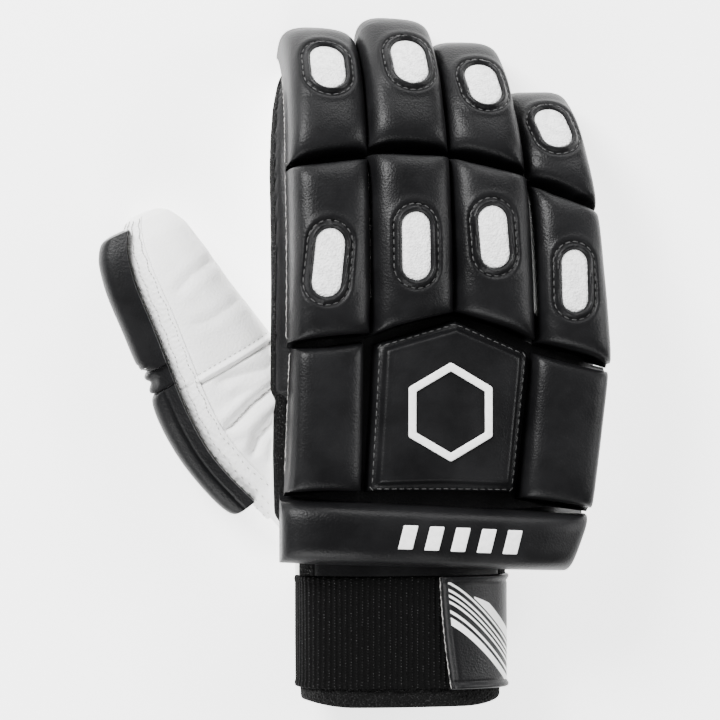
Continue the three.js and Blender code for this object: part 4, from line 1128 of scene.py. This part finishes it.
GUARDS = {
    # stretch of the thumb, width at its ends, height
    "thumb_guard_base": (0.04, 0.338, (0.72, 1.0), 0.95), "thumb_guard_hinge": (0.34, 0.399, (0.9, 0.9), 0.86),
    "thumb_guard_tip": (0.401, 0.855, (1.0, 0.84), 1.0),
}
GUARD_HIGH, GUARD_WIDE, GUARD_ROLL = 10.5, 31.0, math.radians(14)
for k, (name, (start, stop, width, share_high)) in enumerate(GUARDS.items()):
    hinge = name.endswith("hinge")
    us = even_spread(4, 14, GUARD_HIGH, 76)
    vs = even_spread(8, 6 if hinge else 27, GUARD_HIGH * share_high, 36 if hinge else 140)
    v, u = np.meshgrid(vs, us, indexing="ij")
    s = (v + 1) / 2
    point, way, across, half_wide, _ = thumb_frame(start + s * (stop - start))
    normal = -across * math.cos(GUARD_ROLL) - np.array((0, 0, 1.0)) * math.sin(GUARD_ROLL)
    over = np.cross(way, normal)
    over /= np.linalg.norm(over, axis=-1, keepdims=True)
    half = GUARD_WIDE / 2 * (width[0] + (width[1] - width[0]) * s)
    foot = point - across * (half_wide + 0.3)[..., None] + over * (u * half)[..., None]
    high = GUARD_HIGH * share_high * (0.94 + 0.06 * (1 - u * u)) * edge_fall(u, 4) * edge_fall(v, 8)
    if name.endswith("tip"):
        hem = np.clip((v + 1) * 27 / 3.2, 0, 1)
        high = high * (0.8 + 0.2 * hem * hem * (3 - 2 * hem))
        high -= 0.5 * np.exp(-(((v + 1) * 27 - 3.4) / 0.6) ** 2) * edge_fall(u, 4)
    if hinge:
        high = high * (1 - 0.2 * np.exp(-(v / 0.4) ** 2))
    top = foot + normal * (high + lumps(foot, 26, 60 + k) * 0.25 * edge_fall(u, 3) * edge_fall(v, 3))[..., None]
    low = foot - normal * 2.5
    if hinge:
        pinched = np.exp(-((high - 5.4) / 2.2) ** 2) * np.exp(-((v + 0.1) / 0.5) ** 2)
        top -= over * (2.4 * pinched * (u > 0))[..., None]
    if name.endswith("base"):
        top -= over * (0.55 * np.exp(-((high - 2.1) / 0.45) ** 2) * (u > 0) * edge_fall(v, 6))[..., None]
    top[..., 2], low[..., 2] = np.maximum(top[..., 2], 0.02), np.maximum(low[..., 2], 0)
    guard = sewn_cushion(name + "_cover", top, low, black_leather)
    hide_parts(name)
    if name.endswith("tip"):
        line_u = np.linspace(-0.9, 0.9, 14)
        row = np.argmin(np.abs((vs + 1) * 27 - 2.0))
        columns_at = [np.argmin(np.abs(us - x)) for x in line_u]
        line = top[row, columns_at] + normal[row, columns_at] * 0.12
        stitch_row("thumb_guard_stitches", line, np.gradient(line, axis=0), normal[row, columns_at], grey_thread,
                   1.5, 0.45, 0.4)


# Wrist: the hand goes through a black towelling band. A wide ribbed elastic strap is wrapped round it, and ends
# in a folded leather tab with white curved stripes, whose raw edge shows as a thin light line.
BAND_TOP = NECK_END + 0.85 * NECK_LONG
BAND_LONG = 61.0
STRAP_LONG = 44.5
TAB_LONG = 45.5


def wrist_skin(y, turn, grow):
    """Points of the wrist's rounded section, grown outwards. turn is 0 on the little finger's side, 1/4 on top."""
    angle = turn * 2 * math.pi
    c, s = np.cos(angle), np.sin(angle)
    scale = (np.abs(c) ** 2.4 + np.abs(s) ** 2.4) ** (-1 / 2.4)
    x = 1.0 + (WRIST_WIDE / 2 + grow) * c * scale
    z = WRIST_LIFT + WRIST_DEEP / 2 + (WRIST_DEEP / 2 + grow) * s * scale
    return np.stack([x, y + 0 * x, z], -1)


def even_turns(count):
    """Turns that lie evenly round the wrist."""
    turn = np.linspace(0, 1, 4001)
    ring = wrist_skin(0.0 * turn, turn, 2.0)
    length = np.concatenate([[0], np.cumsum(np.linalg.norm(np.diff(ring, axis=0), axis=1))])
    return np.interp(np.linspace(0, length[-1], count, endpoint=False), length, turn)


def wound_band(name, walls, count, material, puff=None):
    """A band round the wrist through a closed row of (y, grow) points, outside first, with a fine surface."""
    turns = even_turns(count)
    rings = []
    for k, (y, grow) in enumerate(walls):
        extra = puff(k, turns) if puff else 0
        rings.append(wrist_skin(y, turns, grow + extra))
    bpy.ops.object.select_all(action="DESELECT")
    bpy.ops.mesh.primitive_circle_add(vertices=count, fill_type="NOTHING")
    band = bpy.context.object
    band.name = name
    shape = bmesh.new()
    rows = [[shape.verts.new(p) for p in metres(ring)] for ring in rings]
    for low, high in zip(rows, rows[1:] + rows[:1]):
        for k in range(count):
            shape.faces.new((low[k], low[(k + 1) % count], high[(k + 1) % count], high[k]))
    bmesh.ops.recalc_face_normals(shape, faces=shape.faces)
    shape.to_mesh(band.data)
    shape.free()
    only(band)
    bpy.ops.object.shade_smooth_by_angle(angle=math.radians(50))
    band.data.materials.append(material)
    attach(band, "root")
    return band


def make_towelling():
    """Looped pile: rough, soft-edged loops in all directions, with a painted highlight: the pile is painted lighter
    where it stands highest.
    """
    material, tree, shader, place = surface("black_towelling", 0.9, 0.06, 0.03)
    loops = add_node(tree, "TexVoronoi", [(place, "Vector")], Scale=820.0, Randomness=1.0)
    pile = add_node(tree, "TexNoise", [(place, "Vector")], Scale=1500.0, Detail=3.0, Roughness=0.7)
    # Painted highlight: the pile's colour follows its height, lighter on the tops.
    shade_between(tree, shader, pile.outputs[0], (0.003, 0.003, 0.003), (0.055, 0.055, 0.055), 0.55, 0.8)
    height = maths(tree, "SUBTRACT", pile.outputs[0], maths(tree, "MULTIPLY", loops.outputs["Distance"], 1.1))
    raise_by(tree, shader, height, 1.0, 0.0012)
    return material


def make_elastic():
    """Woven elastic: upright ribs of small knots, matt black, with a painted highlight on the knots' tops."""
    material, tree, shader, place = surface("black_elastic", 0.8, 0.06)
    knots = add_node(tree, "Attribute", attribute_name="knots")
    fuzz = add_node(tree, "TexNoise", [(place, "Vector")], Scale=1800.0, Detail=2.0, Roughness=0.7)
    mask = maths(tree, "MULTIPLY", knots.outputs["Fac"], fuzz.outputs[0])
    # Painted highlight: where the knots stand highest the elastic is painted lighter.
    shade_between(tree, shader, mask, (0.0012, 0.0012, 0.0012), (0.075, 0.075, 0.075), 0.4, 0.68)
    raise_by(tree, shader, maths(tree, "ADD", knots.outputs["Fac"], fuzz.outputs[0]), 0.7, 0.0004)
    return material


towelling = make_towelling()
elastic = make_elastic()
end = BAND_TOP - BAND_LONG
walls = [(BAND_TOP, 0.0)] + [(BAND_TOP + (end - BAND_TOP) * s, 0.0) for s in np.linspace(0.05, 0.93, 40)]
walls += [(end + 2.0 * (1 - math.sin(a)), -0.05 - 1.0 * (1 - math.cos(a))) for a in np.linspace(0.2, math.pi / 2, 7)]
walls += [(end + 0.8, -1.8), (end + 3, -2.0), ((end + BAND_TOP) / 2, -2.0), (BAND_TOP, -2.0)]
sweat_noise = np.random.default_rng(5).normal(size=(len(walls), 560)) * 0.05


def band_puff(k, turns):
    return sweat_noise[k] + 0 * turns + (0.12 * np.sin(turns * 160) if k < 40 else 0)


wrist_band = wound_band("wrist_band_towelling", walls, 560, towelling, band_puff)
shaped = wrist_band.data
flat = np.empty(len(shaped.vertices) * 3)
shaped.vertices.foreach_get("co", flat)
flat = flat.reshape(-1, 3)
off = (flat[:, 0] * 1000 - SHELL_SHIFT[0] - 1) / (WRIST_WIDE / 2)
near_end = np.clip(((NECK_END - STRAP_LONG) - (flat[:, 1] * 1000 - SHELL_SHIFT[1])) / 6, 0, 1)
flat[:, 1] += near_end * np.maximum(np.abs(off) - 0.55, 0) ** 2 * 0.014
shaped.vertices.foreach_set("co", flat.ravel())
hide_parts("wrist_band")

# The strap's ribs run along the arm, 2.2 mm apart, each a column of small knots.
RIB_COUNT = 96
STRAP_ROWS, STRAP_COLUMNS = 128, 576
strap_top = NECK_END - 0.3
strap_walls = [(strap_top - 0.2, 0.9), (strap_top, 1.5)]
strap_walls += [(strap_top - STRAP_LONG * s, 1.9) for s in np.linspace(0.006, 0.994, STRAP_ROWS)]
strap_walls += [(strap_top - STRAP_LONG, 1.5), (strap_top - STRAP_LONG + 0.2, 0.5), (strap_top - 6, 0.35)]


def ribs(k, turns):
    if not 2 <= k < 2 + STRAP_ROWS:
        return 0
    s = (k - 2) / (STRAP_ROWS - 1)
    column = turns_length(turns) * RIB_COUNT
    edge = min(s, 1 - s) * STRAP_LONG
    hem = 0.35 * math.exp(-((edge - 1.2) / 0.9) ** 2)
    knot = (0.5 + 0.5 * np.cos(column * 2 * math.pi)) ** 0.8
    bead = 0.5 + 0.5 * np.cos(s * STRAP_LONG / 1.15 * 2 * math.pi + np.pi * (np.floor(column + 0.5) % 2))
    return 0.34 * knot * (0.45 + 0.55 * bead) + hem + 0.15 * np.sin(column * 0.9 + 3 * s)


def turns_length(turns):
    return np.arange(len(turns)) / len(turns)


strap = wound_band("wrist_strap_elastic", strap_walls, STRAP_COLUMNS, elastic, ribs)
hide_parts("wrist_strap")
# The knots' height is stored for the elastic's bump and for its painted highlight.
knots = strap.data.attributes.new("knots", "FLOAT", "POINT")
place = np.arange(len(strap.data.vertices))
values = np.zeros(len(place), dtype=np.float32)
for row in range(len(strap_walls)):
    s = (row - 2) / (STRAP_ROWS - 1)
    column = np.arange(STRAP_COLUMNS) / STRAP_COLUMNS * RIB_COUNT
    rib = (0.5 + 0.5 * np.cos(column * 2 * math.pi)) ** 1.2
    bead = 0.5 + 0.5 * np.cos(s * STRAP_LONG / 1.15 * 2 * math.pi + np.pi * (np.floor(column + 0.5) % 2))
    values[row * STRAP_COLUMNS:(row + 1) * STRAP_COLUMNS] = rib * (0.35 + 0.65 * bead)
knots.data.foreach_set("value", values)


# The tab: folded leather over the strap's end, with hems at its top and bottom. Its stripes are painted by the
# tab's own coordinates, which are stored on it: how far across from the raw edge, and how far down.
TAB_LEFT = 12.3


def make_tab_leather():
    material, tree, shader, place = surface("tab_leather", 0.36, 0.16)
    grain = tree.nodes.new("ShaderNodeGroup")
    grain.node_tree = grain_group
    grain.inputs["Pebbles"].default_value = 1150
    grain.inputs["Creases"].default_value = 1.5
    tree.links.new(place, grain.inputs["Place"])
    across = add_node(tree, "Attribute", attribute_name="across")
    down = add_node(tree, "Attribute", attribute_name="down")
    # Each stripe lies between two curves that fall away from the upper left; the ramp holds the stripes.
    bend = maths(tree, "MULTIPLY", maths(tree, "POWER", across.outputs["Fac"], 1.45), 0.62)
    level = maths(tree, "SUBTRACT", down.outputs["Fac"], bend)
    ramp = add_node(tree, "ValToRGB", [(maths(tree, "ADD", level, 0.2), "Fac")])
    ramp.color_ramp.interpolation = "CONSTANT"
    bands = ((0.0, 0), (0.226, 1), (0.248, 0), (0.286, 1), (0.312, 0), (0.338, 1), (0.36, 0), (0.388, 1), (0.414, 0),
             (0.468, 1), (0.494, 0), (0.53, 1), (0.595, 0))
    elements = ramp.color_ramp.elements
    while len(elements) < len(bands):
        elements.new(0.5)
    for element, (position, white) in zip(elements, bands):
        element.position = position
    for element, (position, white) in zip(elements, bands):
        element.color = (white, white, white, 1)
    # The outermost stripe is a long lens that starts half way across.
    start = maths(tree, "SUBTRACT", maths(tree, "MINIMUM", across.outputs["Fac"], 0.66), 0.45)
    lens = maths(tree, "GREATER_THAN", maths(tree, "ADD", level, maths(tree, "MULTIPLY", start, 0.4)), -0.005)
    lens = maths(tree, "MULTIPLY", lens, maths(tree, "LESS_THAN", level, 0.008))
    lens = maths(tree, "MULTIPLY", lens, maths(tree, "GREATER_THAN", across.outputs["Fac"], 0.45))
    # On the left all stripes end at a line beside the raw edge, which leans as that edge does.
    lean = maths(tree, "MULTIPLY", maths(tree, "POWER", down.outputs["Fac"], 1.4), 0.15)
    left = maths(tree, "GREATER_THAN", maths(tree, "SUBTRACT", across.outputs["Fac"], lean), 0.1)
    hems = maths(tree, "MULTIPLY", maths(tree, "GREATER_THAN", down.outputs["Fac"], 0.06),
                 maths(tree, "LESS_THAN", down.outputs["Fac"], 0.935))
    stripes = maths(tree, "MAXIMUM", ramp.outputs[0], lens)
    stripes = maths(tree, "MULTIPLY", maths(tree, "MULTIPLY", stripes, left), hems)
    mix = add_node(tree, "Mix", data_type="RGBA")
    tree.links.new(stripes, mix.inputs["Factor"])
    for socket in mix.inputs:
        if socket.type == "RGBA" and socket.name == "A":
            socket.default_value = (0.006, 0.006, 0.0065, 1)
        if socket.type == "RGBA" and socket.name == "B":
            socket.default_value = (0.86, 0.86, 0.86, 1)
    result = next(socket for socket in mix.outputs if socket.type == "RGBA")
    tree.links.new(result, shader.inputs["Base Color"])
    height = maths(tree, "ADD", grain.outputs["Grain"], maths(tree, "MULTIPLY", stripes, 0.6))
    raise_by(tree, shader, height, 0.3, 0.0004)
    return material


tab_leather = make_tab_leather()
tab_top = strap_top + 0.3
rows, columns = 116, 150
down, across = np.meshgrid(np.linspace(0, 1, rows), np.linspace(0, 1, columns), indexing="ij")
start_x = TAB_LEFT + 2.0 * down + 2.9 * down ** 2
section_turn = np.linspace(0.245, -0.17, 3000)
section_points = wrist_skin(0 * section_turn, section_turn, 3.6)
section_length = np.concatenate([[0], np.cumsum(np.linalg.norm(np.diff(section_points, axis=0), axis=1))])
start_length = np.interp(start_x, section_points[:1500, 0], section_length[:1500])
TAB_ROUND = 58.0
length = start_length + across * TAB_ROUND
turn = np.interp(length, section_length, section_turn)
edge_v = np.minimum(down, 1 - down) * TAB_LONG
edge_u = np.minimum(across * TAB_ROUND, (1 - across) * TAB_ROUND)
hem = 0.7 * np.exp(-((edge_v - 1.0) / 1.1) ** 2) - 0.35 * np.exp(-((edge_v - 3.0) / 0.45) ** 2)
fold = 0.65 * np.exp(-((edge_u - 0.8) / 0.9) ** 2) - 0.2 * np.exp(-((edge_u - 4.2) / 0.8) ** 2)
grow = 2.95 + hem + fold + 0.12 * np.sin(across * 15) * np.sin(down * 7)
grow = np.where(edge_u < 0.05, 2.75, np.where(edge_v < 0.05, 2.8, grow))
top = wrist_skin(tab_top - down * TAB_LONG, turn, grow)
low = wrist_skin(tab_top - down * TAB_LONG, turn, 2.62)
tab = sewn_cushion("strap_tab_leather", top, low, tab_leather, lined=True)
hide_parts("strap_tab")
for title, kind in (("across", 0), ("down", 1)):
    layer = tab.data.attributes.new(title, "FLOAT", "POINT")
    co = np.empty(len(tab.data.vertices) * 3)
    tab.data.vertices.foreach_get("co", co)
    co = co.reshape(-1, 3) * 1000 - (SHELL_SHIFT[0], SHELL_SHIFT[1], 0)
    drop = (tab_top - co[:, 1]) / TAB_LONG
    share = (co[:, 0] - TAB_LEFT) / (1 + WRIST_WIDE / 2 + 3.2 - TAB_LEFT)
    share = np.where(co[:, 2] < WRIST_LIFT + WRIST_DEEP * 0.52, 1.5, share)
    layer.data.foreach_set("value", (share if kind == 0 else drop).astype(np.float32))


# Raw edges: where the black leather is cut and not folded, its light core shows as a thin uneven line, beside
# the index finger's rolls and panel, and along the tab's free end.
def make_raw_edge():
    material, tree, shader, place = surface("raw_leather_edge", 0.8, 0.2)
    fibre = add_node(tree, "TexNoise", [(place, "Vector")], Scale=600.0, Detail=4.0, Roughness=0.7)
    shade_between(tree, shader, fibre.outputs[0], (0.05, 0.05, 0.05), (0.42, 0.41, 0.4), 0.38, 0.62)
    raise_by(tree, shader, fibre.outputs[0], 0.5, 0.0002)
    return material


raw_edge = make_raw_edge()


def edge_line(name, line, radius=0.18):
    """A thin uneven line of raw leather through the points."""
    line = np.asarray(line, dtype=float)
    ways = np.gradient(line, axis=0)
    ways /= np.linalg.norm(ways, axis=1)[:, None]
    sides = np.cross(ways, (0, 0, 1.0))
    sides /= np.linalg.norm(sides, axis=1)[:, None]
    ups = np.cross(sides, ways)
    random = np.random.default_rng(len(line))
    rings = []
    for k, (point, side, up) in enumerate(zip(line, sides, ups)):
        thick = radius * (0.75 + 0.4 * random.random()) * min(1, 0.3 + k / 4, 0.3 + (len(line) - 1 - k) / 4)
        wander = side * 0.09 * math.sin(k * 0.9) + up * 0.05 * math.sin(k * 0.6)
        rings.append(rounded_ring(point + wander, side, up, thick, thick * 1.2, 2, 8))
    edge = tube_of_rings(name, rings)
    only(edge)
    bpy.ops.object.shade_smooth()
    edge.data.materials.append(raw_edge)
    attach(edge, "root")


index = fingers[0]
for part, part_name, low_v, high_v in ((0, "mid", -0.99, 0.99), (1, "tip", -0.99, 0.52)):
    v = np.linspace(low_v, high_v, 110)
    line, across, normal = roll_foot(index, part, np.full(110, -1.0), v)
    hook = 2.6 * np.clip((np.abs(v) - 0.93) / 0.06, 0, 1) ** 2 * (v < 0)
    edge_line(f"index_{part_name}_raw_edge", line - across * (0.7 - hook[:, None]) + normal * 0.3)
v = np.linspace(-0.75, 0.97, 100)
line = panel_foot("index_panel", np.full(100, -1.0), v)
hook = 2.2 * np.clip((v - 0.9) / 0.07, 0, 1) ** 2
edge_line("index_panel_raw_edge", line + np.column_stack([hook - 0.6, 0 * v, 0 * v + 0.6]))
down = np.linspace(0.01, 0.99, 90)
turn = np.interp(np.interp(TAB_LEFT + 2.0 * down + 2.9 * down ** 2, section_points[:1500, 0], section_length[:1500]),
                 section_length, section_turn)
edge_line("tab_raw_edge", wrist_skin(tab_top - down * TAB_LONG, turn, 3.5) - (0.25, 0, 0), 0.2)
